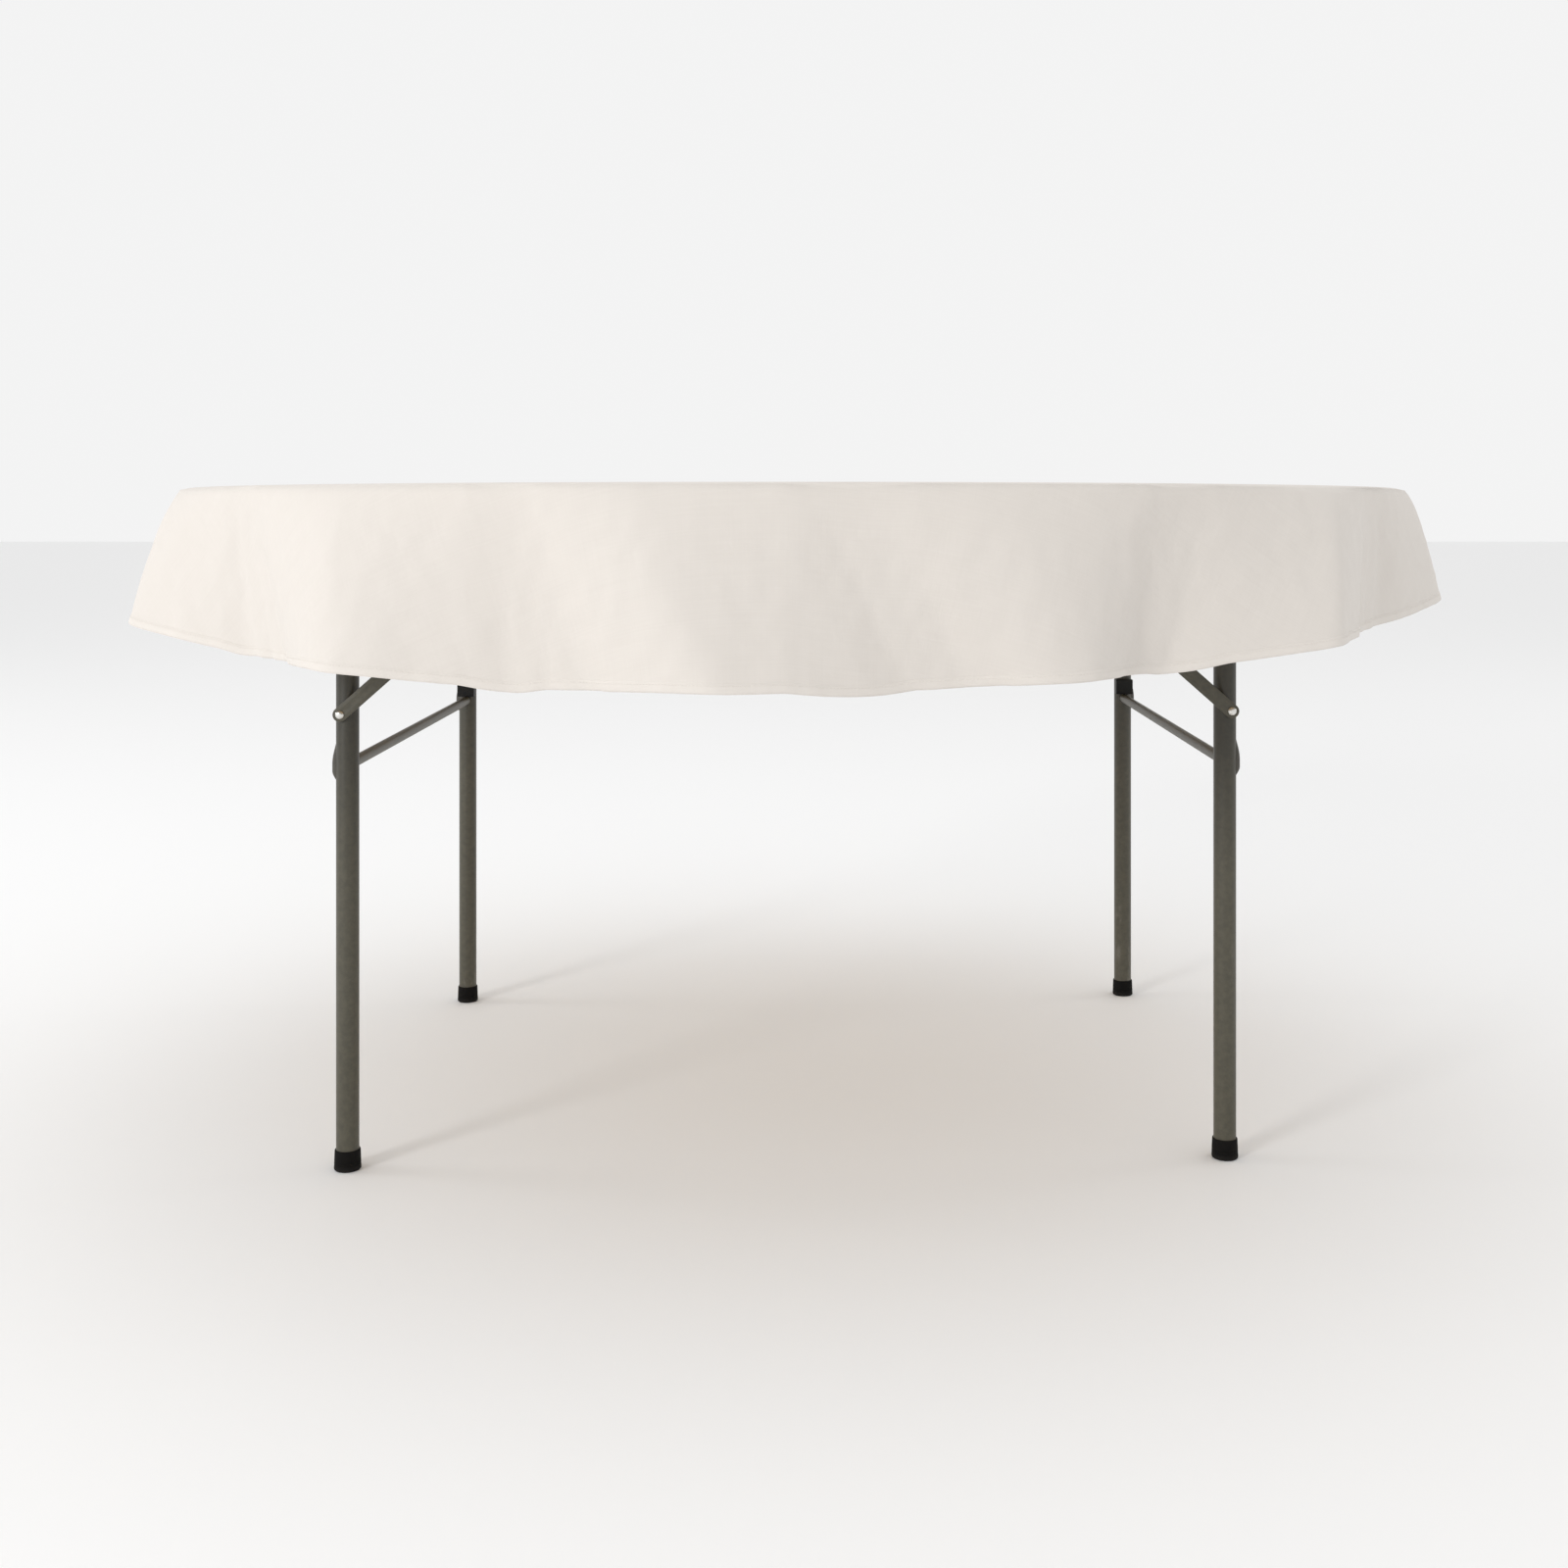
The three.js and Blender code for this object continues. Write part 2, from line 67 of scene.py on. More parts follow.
def extent(node):
    low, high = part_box(node)
    return high - low


TUBE_RADIUS = extent("left_leg_tube").x / 2
HINGE_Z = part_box("left_leg_tube")[1].z - TUBE_RADIUS
LEG_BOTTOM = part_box("left_leg_tube")[0].z
TOP_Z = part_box("tabletop_panel")[1].z
TOP_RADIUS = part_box("edge_trim")[1].x
GAP = 0.3 * MM

# -------------------- other driving sizes

TUBE_WALL = 1.2 * MM
BEND_RADIUS = 50 * MM
TUBE_SIDES = 40
LINK_WIDTH = 16 * MM
LINK_HOLE = 3.3 * MM
RIVET_SHANK = 3 * MM
SADDLE_THICKNESS = 2.5 * MM
BRACKET_THICKNESS = 3 * MM
CRISP = 35      # degrees: the edges of small machined parts stay sharp over this

CLOTH_RADIUS = 0.889
CLOTH_CENTRE = (-0.008, -0.072)
CLOTH_THICKNESS = 0.7 * MM
CLOTH_Z = TOP_Z + 1.1 * MM
# The folds over half a turn. Angles are in degrees from the front: where each ridge meets the rim
# and the hem, how far its hem stands out, and where the valley after it meets the rim and the hem.
FOLDS = (
    (-85, -84, 80 * MM, -73, -72), (-62, -60, 92 * MM, -48, -44), (-34, -31, 80 * MM, -19.7, -16.7),
    (-10.8, -4, 64 * MM, 4.7, 10.3), (16.4, 20, 46 * MM, 30, 26.5), (46, 40.5, 88 * MM, 57, 55),
    (70, 71, 70 * MM, 83, 84))
FLARE_VALLEY = 4 * MM
FLATTENING = 1.1
HEM_WIDTH = 9.5 * MM
HEM_RINGS = 12          # how many rings at the edge are made finer, and how many then carry the hem
# Rings of points on the table top, by radius and then by how far inside its edge.
TOP_RINGS = (0.15, 0.3, 0.45, 0.58, 0.68, 0.72, 0.74)
EDGE_RINGS = (13 * MM, 7 * MM, 3 * MM)
DRAPE_COLUMNS = 360
DRAPE_RINGS = 16
DRAPE_FRAMES = 45
LOOSE_TOP_RINGS = 2     # of TOP_RINGS, that are in the simulated sheet
HELD_RINGS = 4          # of the simulated sheet, that don't move
DRAPE_SETTINGS = {
    "quality": 7, "mass": 0.001, "air_damping": 1.5, "pin_stiffness": 1,
    "tension_stiffness": 40, "compression_stiffness": 40, "shear_stiffness": 12, "bending_stiffness": 1,
    "tension_damping": 4, "compression_damping": 4, "shear_damping": 4, "bending_damping": 0.5}


# -------------------- camera, lights and stage

def make_camera():
    data = bpy.data.cameras.new("camera")
    data.lens = 42.4
    data.shift_x = -0.0222
    data.shift_y = -0.175
    camera = linked("camera", data)
    camera.location = (0.0324, -2.44, 0.738)
    camera.rotation_euler = (math.pi / 2, 0, 0)
    bpy.context.scene.camera = camera


def area_light(name, position, target, size, power):
    data = bpy.data.lights.new(name, "AREA")
    data.shape = "DISK"
    data.size = size
    data.energy = power
    light = linked(name, data)
    light.location = position
    light.rotation_euler = (Vector(target) - Vector(position)).to_track_quat("-Z", "Y").to_euler()


def make_lights():
    area_light("key_light", (-5.1, -6.2, 2.7), (0, -0.3, 0.6), 1.8, 200)
    area_light("left_light", (-7.6, 0.7, 2.6), (0, 0, 0.6), 2.4, 88)
    area_light("right_light", (7.5, 2.0, 2.7), (0, -0.1, 0.6), 2.4, 42)
    area_light("top_light", (0, 0.8, 3.6), (0, 0, 0.7), 2.5, 6)
    world = bpy.data.worlds.new("studio")
    world.use_nodes = True
    background = world.node_tree.nodes["Background"]
    background.inputs["Color"].default_value = (1, 1, 1, 1)
    background.inputs["Strength"].default_value = 0.90
    bpy.context.scene.world = world
    bpy.context.scene.view_settings.view_transform = "Standard"


def make_stage():
    half = 40.0
    corners = [(-half, -half, 0), (half, -half, 0), (half, half, 0), (-half, half, 0)]
    floor = object_from("floor", corners, [(0, 1, 2, 3)])
    floor.data.materials.append(floor_paint())


# -------------------- mesh helpers

def linked(name, data):
    obj = bpy.data.objects.new(name, data)
    bpy.context.scene.collection.objects.link(obj)
    return obj


def shade(mesh, sharp=None):
    """Smooth shading; edges over the sharp angle, in degrees, stay crisp."""
    mesh.shade_smooth()
    if sharp is not None:
        mesh.set_sharp_from_angle(angle=math.radians(sharp))


def object_from(name, points, faces, sharp=None):
    mesh = bpy.data.meshes.new(name)
    mesh.from_pydata([tuple(p) for p in points], [], faces)
    mesh.update()
    shade(mesh, sharp)
    return linked(name, mesh)


def face_outward(mesh, merge=None):
    """Turns all faces outwards, after merging points closer than merge."""
    work = bmesh.new()
    work.from_mesh(mesh)
    if merge:
        bmesh.ops.remove_doubles(work, verts=work.verts, dist=merge)
    bmesh.ops.recalc_face_normals(work, faces=work.faces)
    work.to_mesh(mesh)
    work.free()


def turned(name, profile, sides=48, sharp=CRISP):
    """A solid turned about Z from (radius, height) points that run up its outside."""
    points, rings, faces = [], [], []
    for radius, height in profile:
        if radius < 1e-9:
            rings.append([len(points)] * sides)
            points.append((0, 0, height))
            continue
        rings.append(list(range(len(points), len(points) + sides)))
        for i in range(sides):
            angle = 2 * math.pi * i / sides
            points.append((radius * math.cos(angle), radius * math.sin(angle), height))
    for lower, upper in zip(rings, rings[1:]):
        for i in range(sides):
            k = (i + 1) % sides
            corners = [lower[i], lower[k], upper[k], upper[i]]
            face = [c for n, c in enumerate(corners) if c not in corners[:n]]
            if len(face) > 2:
                faces.append(face)
    return object_from(name, points, faces, sharp)


def swept(name, sections, closed_path=False, sharp=50):
    """A closed skin over rings of points: a tube with capped ends, or a loop."""
    count = len(sections[0])
    points = [p for section in sections for p in section]
    faces = []
    spans = len(sections) if closed_path else len(sections) - 1
    for s in range(spans):
        here, there = s * count, (s + 1) % len(sections) * count
        for i in range(count):
            k = (i + 1) % count
            faces.append((here + i, here + k, there + k, there + i))
    if not closed_path:
        faces.append(tuple(range(count - 1, -1, -1)))
        faces.append(tuple(range(len(points) - count, len(points))))
    return object_from(name, points, faces, sharp)


def circle(centre, side, up, radius, count):
    """Points round a circle in the plane of side and up, or an ellipse if one of them is shorter."""
    angles = [2 * math.pi * i / count for i in range(count)]
    return [centre + radius * (math.cos(a) * side + math.sin(a) * up) for a in angles]


def arc(x, y, radius, first, last, steps):
    """Points along an arc about (x, y), between two angles in degrees."""
    angles = [math.radians(first + (last - first) * k / steps) for k in range(steps + 1)]
    return [(x + radius * math.cos(a), y + radius * math.sin(a)) for a in angles]


def rounded_outline(points, radius, steps=6):
    """The outline of a convex polygon, with its corners rounded."""
    outline = []
    for i, corner in enumerate(points):
        corner = Vector(corner)
        before = (Vector(points[i - 1]) - corner).normalized()
        after = (Vector(points[(i + 1) % len(points)]) - corner).normalized()
        half = before.angle(after) / 2
        reach = radius / math.tan(half)
        centre = corner + (before + after).normalized() * radius / math.sin(half)
        start = corner + before * reach - centre
        end = corner + after * reach - centre
        sweep = start.angle(end)
        for k in range(steps + 1):
            part = k / steps
            mix = start * math.sin((1 - part) * sweep) + end * math.sin(part * sweep)
            outline.append(tuple(centre + mix / math.sin(sweep)))
    return outline


def evaluated_mesh(obj):
    depsgraph = bpy.context.evaluated_depsgraph_get()
    return bpy.data.meshes.new_from_object(obj.evaluated_get(depsgraph))


def plate(name, outlines, thickness, bevel):
    """A flat plate in the XY plane, centred on Z, with rounded edges. Further outlines are holes."""
    curve = bpy.data.curves.new(name, "CURVE")
    curve.dimensions = "2D"
    curve.fill_mode = "BOTH"
    curve.extrude = thickness / 2 - bevel
    curve.bevel_depth = bevel
    curve.bevel_resolution = 2
    curve.offset = -bevel
    for outline in outlines:
        spline = curve.splines.new("POLY")
        spline.points.add(len(outline) - 1)
        for point, (x, y) in zip(spline.points, outline):
            point.co = (x, y, 0, 1)
        spline.use_cyclic_u = True
    source = linked(name + "_outline", curve)
    mesh = evaluated_mesh(source)
    bpy.data.objects.remove(source)
    bpy.data.curves.remove(curve)
    mesh.name = name
    face_outward(mesh, merge=1e-6)
    shade(mesh, 40)
    return linked(name, mesh)


def bevelled(obj, width, segments=3, angle=30):
    modifier = obj.modifiers.new("edges", "BEVEL")
    modifier.width = width
    modifier.segments = segments
    modifier.limit_method = "ANGLE"
    modifier.angle_limit = math.radians(angle)
    return obj


def boolean(obj, tool, operation):
    """Cuts obj with tool, or keeps what they share, and removes the tool."""
    modifier = obj.modifiers.new("cut", "BOOLEAN")
    modifier.operation = operation
    modifier.object = tool
    modifier.solver = "EXACT"
    mesh = evaluated_mesh(obj)
    obj.modifiers.remove(modifier)
    obj.data = mesh
    bpy.data.objects.remove(tool)
    shade(mesh, CRISP)


def box_object(name, low, high):
    (x0, y0, z0), (x1, y1, z1) = low, high
    points = [(x, y, z) for z in (z0, z1) for y in (y0, y1) for x in (x0, x1)]
    faces = [(0, 2, 3, 1), (4, 5, 7, 6), (0, 1, 5, 4), (2, 6, 7, 3), (0, 4, 6, 2), (1, 3, 7, 5)]
    return object_from(name, points, faces, 30)


def place(obj, transform):
    """Moves the mesh itself, so that the object stays at the origin."""
    obj.data.transform(transform)
    return obj


def along_y(out):
    """Turns a solid about Z into one about Y that points to out, -1 or 1."""
    return Matrix.Rotation(-out * math.pi / 2, 4, "X")


def finish_piece(obj, body, slot, material, *nodes):
    obj.data.materials.clear()
    obj.data.materials.append(material)
    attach(obj, body)
    if nodes:
        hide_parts(*nodes)
    return obj


# -------------------- materials

class Shader:
    """A material under construction, with short names for the nodes it uses."""

    def __init__(self, name, colour, roughness, metallic=0.0):
        self.material = bpy.data.materials.new(name)
        self.material.use_nodes = True
        self.nodes = self.material.node_tree.nodes
        self.links = self.material.node_tree.links
        self.surface = self.nodes["Principled BSDF"]
        self.surface.inputs["Base Color"].default_value = (*colour, 1)
        self.surface.inputs["Roughness"].default_value = roughness
        self.surface.inputs["Metallic"].default_value = metallic

    def node(self, kind, **values):
        node = self.nodes.new("ShaderNode" + kind)
        for key, value in values.items():
            setattr(node, key, value)
        return node

    def join(self, source, target):
        self.links.new(source, target)

    def coordinates(self, scale=(1, 1, 1), uv=None):
        """Object coordinates, or a named UV map, stretched by scale."""
        if uv:
            source = self.node("UVMap", uv_map=uv).outputs["UV"]
        else:
            source = self.node("TexCoord").outputs["Object"]
        mapping = self.node("Mapping")
        mapping.inputs["Scale"].default_value = scale
        self.join(source, mapping.inputs["Vector"])
        return mapping.outputs["Vector"]

    def axes(self, uv=None):
        """The same coordinates as separate X, Y and Z values."""
        split = self.node("SeparateXYZ")
        self.join(self.coordinates(uv=uv), split.inputs["Vector"])
        return split.outputs

    def noise(self, scale, detail=3, stretch=(1, 1, 1), uv=None, rough=0.5, distortion=0.0):
        noise = self.node("TexNoise")
        noise.inputs["Scale"].default_value = scale
        noise.inputs["Detail"].default_value = detail
        noise.inputs["Roughness"].default_value = rough
        noise.inputs["Distortion"].default_value = distortion
        self.join(self.coordinates(stretch, uv), noise.inputs["Vector"])
        return noise.outputs["Fac"]

    def ramp(self, value, *stops):
        """Maps a value through (position, colour) stops; a colour may be one grey number."""
        ramp = self.node("ValToRGB")
        elements = ramp.color_ramp.elements
        while len(elements) < len(stops):
            elements.new(0.5)
        for element, (position, colour) in zip(elements, stops):
            element.position = position
            element.color = (colour,) * 3 + (1,) if isinstance(colour, (int, float)) else (*colour, 1)
        self.join(value, ramp.inputs["Fac"])
        return ramp.outputs["Color"]

    def math(self, operation, first, second=None):
        node = self.node("Math", operation=operation)
        for socket, value in zip(node.inputs, (first, second)):
            if isinstance(value, (int, float)):
                socket.default_value = value
            elif value is not None:
                self.join(value, socket)
        return node.outputs["Value"]

    def mix(self, amount, first, second, blend="MIX"):
        node = self.node("Mix", data_type="RGBA", blend_type=blend)
        for socket, value in ((node.inputs[0], amount), (node.inputs[6], first), (node.inputs[7], second)):
            if isinstance(value, (int, float)):
                socket.default_value = value
            elif isinstance(value, tuple):
                socket.default_value = (*value[:3], 1)
            else:
                self.join(value, socket)
        return node.outputs[2]

    def set_colour(self, value):
        self.join(value, self.surface.inputs["Base Color"])

    def set_roughness(self, value, low, high):
        spread = self.node("MapRange")
        spread.inputs["To Min"].default_value = low
        spread.inputs["To Max"].default_value = high
        self.join(value, spread.inputs["Value"])
        self.join(spread.outputs["Result"], self.surface.inputs["Roughness"])

    def bump(self, *layers):
        """Adds (height value, depth in metres) layers, one on another."""
        normal = None
        for value, depth in layers:
            node = self.node("Bump")
            node.inputs["Strength"].default_value = 1.0
            node.inputs["Distance"].default_value = depth
            self.join(value, node.inputs["Height"])
            if normal:
                self.join(normal, node.inputs["Normal"])
            normal = node.outputs["Normal"]
        self.join(normal, self.surface.inputs["Normal"])


def tinted(colour, factor):
    return tuple(factor * c for c in colour)


def floor_paint():
    shader = Shader("floor_paint", (0.90, 0.90, 0.90), 0.8)
    shader.bump((shader.noise(60), 0.2 * MM))
    return shader.material


def linen(name="linen", tint=1.0):
    """An off-white plain weave with thick threads here and there, drawn in the flat cloth's metres."""
    base = tinted((0.655, 0.612, 0.566), tint)
    light = tinted((0.680, 0.638, 0.592), tint)
    shader = Shader(name, base, 0.92)
    weft = shader.noise(1, 2, (9, 620, 1), "flat")
    warp = shader.noise(1, 2, (620, 9, 1), "flat")
    cloudy = shader.noise(7, uv="flat")
    threads = shader.math("ADD", shader.math("MULTIPLY", weft, 0.6), shader.math("MULTIPLY", warp, 0.4))
    tone = shader.ramp(threads, (0.30, base), (0.70, light))
    shader.set_colour(shader.mix(shader.ramp(cloudy, (0.35, 0.0), (0.7, 0.22)), tone, light))
    per_metre = 2 * math.pi / (0.9 * MM)
    plan = shader.axes("flat")
    waves = [shader.math("SINE", shader.math("MULTIPLY", plan[axis], per_metre)) for axis in "XY"]
    weave = shader.math("MULTIPLY", *waves)
    rumple = shader.noise(26, uv="flat", rough=0.55)
    shader.bump((rumple, 0.9 * MM), (threads, 0.12 * MM), (weave, 0.035 * MM))
    shader.surface.inputs["Sheen Weight"].default_value = 0.18
    shader.surface.inputs["Sheen Roughness"].default_value = 0.6
    shader.surface.inputs["Specular IOR Level"].default_value = 0.25
    return shader.material


def thread():
    shader = Shader("sewing_thread", (0.72, 0.68, 0.63), 0.75)
    shader.bump((shader.noise(900, 2), 0.05 * MM))
    return shader.material


def painted_steel(name="taupe_paint", colour=(0.067, 0.061, 0.041), upper_shade_tone=1.0):
    """Powder coat: a fine orange peel, a faint mottle, and dusty scuffs low on the legs.

    Given a tone under 1, the paint is multiplied by it from 0.50 m up, blending in from 0.33 m: painted
    shade, where the cloth shades the upper legs.
    """
    shader = Shader(name, colour, 0.42)
    mottle = shader.noise(160, 4, rough=0.6)
    tone = shader.ramp(mottle, (0.35, tinted(colour, 0.86)), (0.65, tinted(colour, 1.12)))
    scuff = shader.noise(34, 5, (1, 1, 0.35), rough=0.7)
    height = shader.axes()["Z"]
    low = shader.ramp(height, (0.02, 0.55), (0.30, 0.0))
    if upper_shade_tone < 1:
        # Painted shade: darker from 0.33 m up, where the cloth over the table shades the legs.
        painted_shade = shader.ramp(height, (0.33, 1.0), (0.50, upper_shade_tone))
        tone = shader.mix(1.0, tone, painted_shade, "MULTIPLY")
    marks = shader.math("MULTIPLY", shader.ramp(scuff, (0.6, 0.0), (0.74, 1.0)), low)
    shader.set_colour(shader.mix(marks, tone, (0.24, 0.225, 0.19)))
    shader.set_roughness(mottle, 0.36, 0.52)
    shader.bump((shader.noise(420, 3), 0.10 * MM), (scuff, 0.05 * MM))
    return shader.material


def plated_steel():
    shader = Shader("zinc_plate", (0.74, 0.73, 0.70), 0.3, 1.0)
    grain = shader.noise(700, 3, (1, 1, 4))
    shader.set_colour(shader.ramp(grain, (0.3, (0.66, 0.65, 0.62)), (0.7, (0.80, 0.79, 0.76))))
    shader.set_roughness(grain, 0.22, 0.42)
    shader.bump((grain, 0.03 * MM))
    return shader.material


def rubber():
    """Black rubber, worn grey with floor dust near the ground."""
    black = (0.005, 0.0045, 0.004)
    shader = Shader("black_rubber", black, 0.8)
    speckle = shader.noise(240, 4, rough=0.65)
    dust = shader.ramp(shader.axes()["Z"], (0.0, 0.5), (0.006, 0.0))
    worn = shader.math("MULTIPLY", dust, speckle)
    shader.set_colour(shader.mix(worn, black, (0.055, 0.05, 0.045)))
    shader.set_roughness(speckle, 0.7, 0.9)
    shader.surface.inputs["Specular IOR Level"].default_value = 0.12
    shader.bump((speckle, 0.12 * MM))
    return shader.material


def nylon():
    shader = Shader("dark_nylon", (0.006, 0.006, 0.0055), 0.5)
    grain = shader.noise(380, 3)
    shader.set_roughness(grain, 0.42, 0.6)
    shader.surface.inputs["Specular IOR Level"].default_value = 0.25
    shader.bump((grain, 0.06 * MM))
    return shader.material


def edge_vinyl():
    shader = Shader("edge_vinyl", (0.042, 0.035, 0.029), 0.5)
    grain = shader.noise(520, 4, rough=0.6)
    broad = shader.noise(18, 3)
    shader.set_colour(shader.ramp(broad, (0.3, (0.036, 0.030, 0.025)), (0.7, (0.052, 0.044, 0.037))))
    shader.set_roughness(broad, 0.42, 0.6)
    shader.bump((grain, 0.09 * MM))
    return shader.material


def wood(name, dark, light, grain_length, scale, roughness):
    """Long grain along X: stretched noise for the figure, finer noise for the pores."""
    shader = Shader(name, light, roughness)
    warp = shader.noise(2.2, 3, (0.5, 2.4, 1), distortion=0.8)
    figure = shader.node("TexWave", wave_type="BANDS", bands_direction="Y", wave_profile="SIN")
    figure.inputs["Scale"].default_value = scale
    figure.inputs["Distortion"].default_value = 9
    figure.inputs["Detail"].default_value = 3
    figure.inputs["Detail Scale"].default_value = 0.7
    shader.join(shader.coordinates((grain_length, 1, 1)), figure.inputs["Vector"])
    pores = shader.noise(1, 4, (14, 420, 420), rough=0.6)
    blend = shader.mix(0.45, figure.outputs["Color"], warp)
    tone = shader.ramp(blend, (0.2, dark), (0.75, light))
    streaks = shader.ramp(pores, (0.38, 0.72), (0.56, 1.0))
    shader.set_colour(shader.mix(0.7, tone, streaks, "MULTIPLY"))
    shader.set_roughness(pores, roughness - 0.08, roughness + 0.1)
    shader.bump((pores, 0.14 * MM), (figure.outputs["Fac"], 0.08 * MM))
    return shader.material


# -------------------- the cloth

def round_sided(phase):
    """A fold's section, 1 on a ridge and 0 in a valley: round ridges and tight valleys."""
    return np.sqrt(np.cos(np.pi * phase) ** 2 + 0.02) / math.sqrt(1.02)


def flat_sided(phase):
    """The same with flat sides, and a small bend at each ridge and valley."""
    from_ridge = 2 * np.abs((phase + 0.5) % 1 - 0.5)
    bend = 0.1
    ridge_side = np.hypot(from_ridge, bend) - bend
    valley_side = np.hypot(1 - from_ridge, bend) - bend
    return valley_side / (ridge_side + valley_side)


def fold_flare(angle, down, section):
    """How far out the folds stand by the hem, for [ring, column] arrays of angles and shares down."""
    turns = (0, 180, 360)
    rim = np.array([a + t for t in turns for ridge in FOLDS for a in (ridge[0], ridge[3])])
    hem = np.array([a + t for t in turns for ridge in FOLDS for a in (ridge[1], ridge[4])])
    ridge_flare = np.array([ridge[2] for _ in turns for ridge in FOLDS])
    flare = np.empty(down.shape)
    for ring in range(len(down)):
        marks = rim + (hem - rim) * down[ring, 0]
        degrees = (np.degrees(angle) - marks[0]) % 360 + marks[0]
        phase = np.interp(degrees, marks, np.arange(len(marks)) / 2)
        full = np.interp(phase, np.arange(len(ridge_flare)), ridge_flare)
        flare[ring] = FLARE_VALLEY + (full - FLARE_VALLEY) * section(phase)
    return flare


def hanging_length(angle):
    """How much flat cloth lies past the rim, in each direction."""
    x, y = np.sin(angle), -np.cos(angle)
    along = CLOTH_CENTRE[0] * x + CLOTH_CENTRE[1] * y
    across = CLOTH_CENTRE[0] * y - CLOTH_CENTRE[1] * x
    return along + np.sqrt(CLOTH_RADIUS ** 2 - across ** 2) - TOP_RADIUS


def fullness(length):
    """The share of its flare that a fold has where the cloth hangs less far."""
    return (length / length.max()) ** 0.6


def cloth_grid():
    """Flat and roughly draped places of the cloth's points, as arrays of [ring, column, xyz]."""
    columns = DRAPE_COLUMNS
    angle = 2 * np.pi * np.arange(columns) / columns
    length = hanging_length(angle)
    outward = np.stack([np.sin(angle), -np.cos(angle)], 1)
    reach = [np.full(columns, r) for r in TOP_RINGS]
    reach += [np.full(columns, TOP_RADIUS - inside) for inside in EDGE_RINGS]
    shares = (np.arange(1, DRAPE_RINGS + 1) / DRAPE_RINGS) ** 1.2
    reach += [TOP_RADIUS + length * share for share in shares]
    reach = np.array(reach)
    flat = np.zeros((*reach.shape, 3))
    flat[..., :2] = reach[..., None] * outward
    flat[..., 2] = CLOTH_Z
    past = np.clip(reach - TOP_RADIUS, 0, None) / length
    flare = fullness(length) * fold_flare(angle, past, round_sided)
    radius = np.minimum(reach, TOP_RADIUS + 1.5 * MM) + flare * past ** 0.7
    fallen = np.zeros_like(reach)
    for ring in range(1, len(reach)):
        step = np.where(past[ring] > 0, reach[ring] - np.maximum(reach[ring - 1], TOP_RADIUS), 0)
        out = radius[ring] - radius[ring - 1]
        fallen[ring] = fallen[ring - 1] + np.sqrt(np.clip(step ** 2 - out ** 2, 0, None))
    draped = np.zeros_like(flat)
    draped[..., :2] = radius[..., None] * outward
    draped[..., 2] = CLOTH_Z - fallen
    return flat, draped


def grid_faces(rings, columns):
    faces = []
    for start in range(0, (rings - 1) * columns, columns):
        for i in range(columns):
            a, b = start + i, start + (i + 1) % columns
            faces.append((a, a + columns, b + columns, b))
    return faces


def map_flat(obj, plan):
    """Keeps each point's place on the flat cloth, in metres, as the UV map called flat."""
    layer = obj.data.uv_layers.new(name="flat")
    corners = np.empty(len(obj.data.loops), np.int32)
    obj.data.loops.foreach_get("vertex_index", corners)
    layer.data.foreach_set("uv", plan[corners].astype(np.float32).ravel())


def cloth_mesh(name, flat, draped):
    """The cloth as one sheet, with its middle closed by a fan."""
    rings, columns = draped.shape[:2]
    points = np.concatenate([draped.reshape(-1, 3), [[0, 0, draped[0, :, 2].mean()]]])
    centre = rings * columns
    faces = grid_faces(rings, columns)
    faces += [(centre, i, (i + 1) % columns) for i in range(columns)]
    obj = object_from(name, points, faces)
    map_flat(obj, np.concatenate([flat[..., :2].reshape(-1, 2), [[0, 0]]]))
    return obj


def drape_block():
    """The rim of the table top, as a rounded ring for the cloth to hang over."""
    rim, deep = 4 * MM, 60 * MM
    top, radius = TOP_Z - 1.5 * MM, TOP_RADIUS - 1.3 * MM
    profile = [(radius - deep, top - deep), (radius - rim, top - deep), (radius, top - deep + rim)]
    profile += arc(radius - rim, top - rim, rim, 0, 90, 3)
    profile += [(radius - deep, top), (radius - deep, top - deep)]
    block = turned("drape_block", profile, 180)
    block.modifiers.new("collision", "COLLISION")
    block.collision.thickness_outer = 1 * MM
    block.collision.cloth_friction = 12
    return block


def simulate_drape(obj, plan, pinned):
    """Lets the hanging part fall under its own weight, with its flat shape as the length to keep."""
    block = drape_block()
    obj.shape_key_add(name="draped")
    flat_key = obj.shape_key_add(name="flat")
    flat_key.data.foreach_set("co", plan.astype(np.float32).ravel())
    flat_key.value = 0
    group = obj.vertex_groups.new(name="held")
    group.add([int(i) for i in pinned], 1.0, "REPLACE")
    cloth = obj.modifiers.new("cloth", "CLOTH")
    for setting, value in DRAPE_SETTINGS.items():
        setattr(cloth.settings, setting, value)
    cloth.settings.vertex_group_mass = "held"
    cloth.settings.rest_shape_key = flat_key
    cloth.collision_settings.distance_min = 1 * MM
    cloth.collision_settings.collision_quality = 3
    scene = bpy.context.scene
    scene.frame_start, scene.frame_end = 1, DRAPE_FRAMES
    cloth.point_cache.frame_start, cloth.point_cache.frame_end = 1, DRAPE_FRAMES
    for step in range(1, DRAPE_FRAMES + 1):
        scene.frame_set(step)
    settled = evaluated_mesh(obj)
    places = np.empty(len(settled.vertices) * 3, np.float32)
    settled.vertices.foreach_get("co", places)
    scene.frame_set(1)
    bpy.data.objects.remove(block)
    bpy.data.objects.remove(obj)
    return places.reshape(-1, 3).astype(float)


def drape():
    """The flat and the settled places of the cloth's points."""
    flat, draped = cloth_grid()
    first = len(TOP_RINGS) - LOOSE_TOP_RINGS
    rings, columns = flat.shape[0] - first, flat.shape[1]
    plan = flat[first:].reshape(-1, 3)
    sheet = object_from("drape_sheet", draped[first:].reshape(-1, 3), grid_faces(rings, columns))
    settled = simulate_drape(sheet, plan, range(HELD_RINGS * columns))
    return flat, np.concatenate([draped[:first], settled.reshape(rings, columns, 3)])


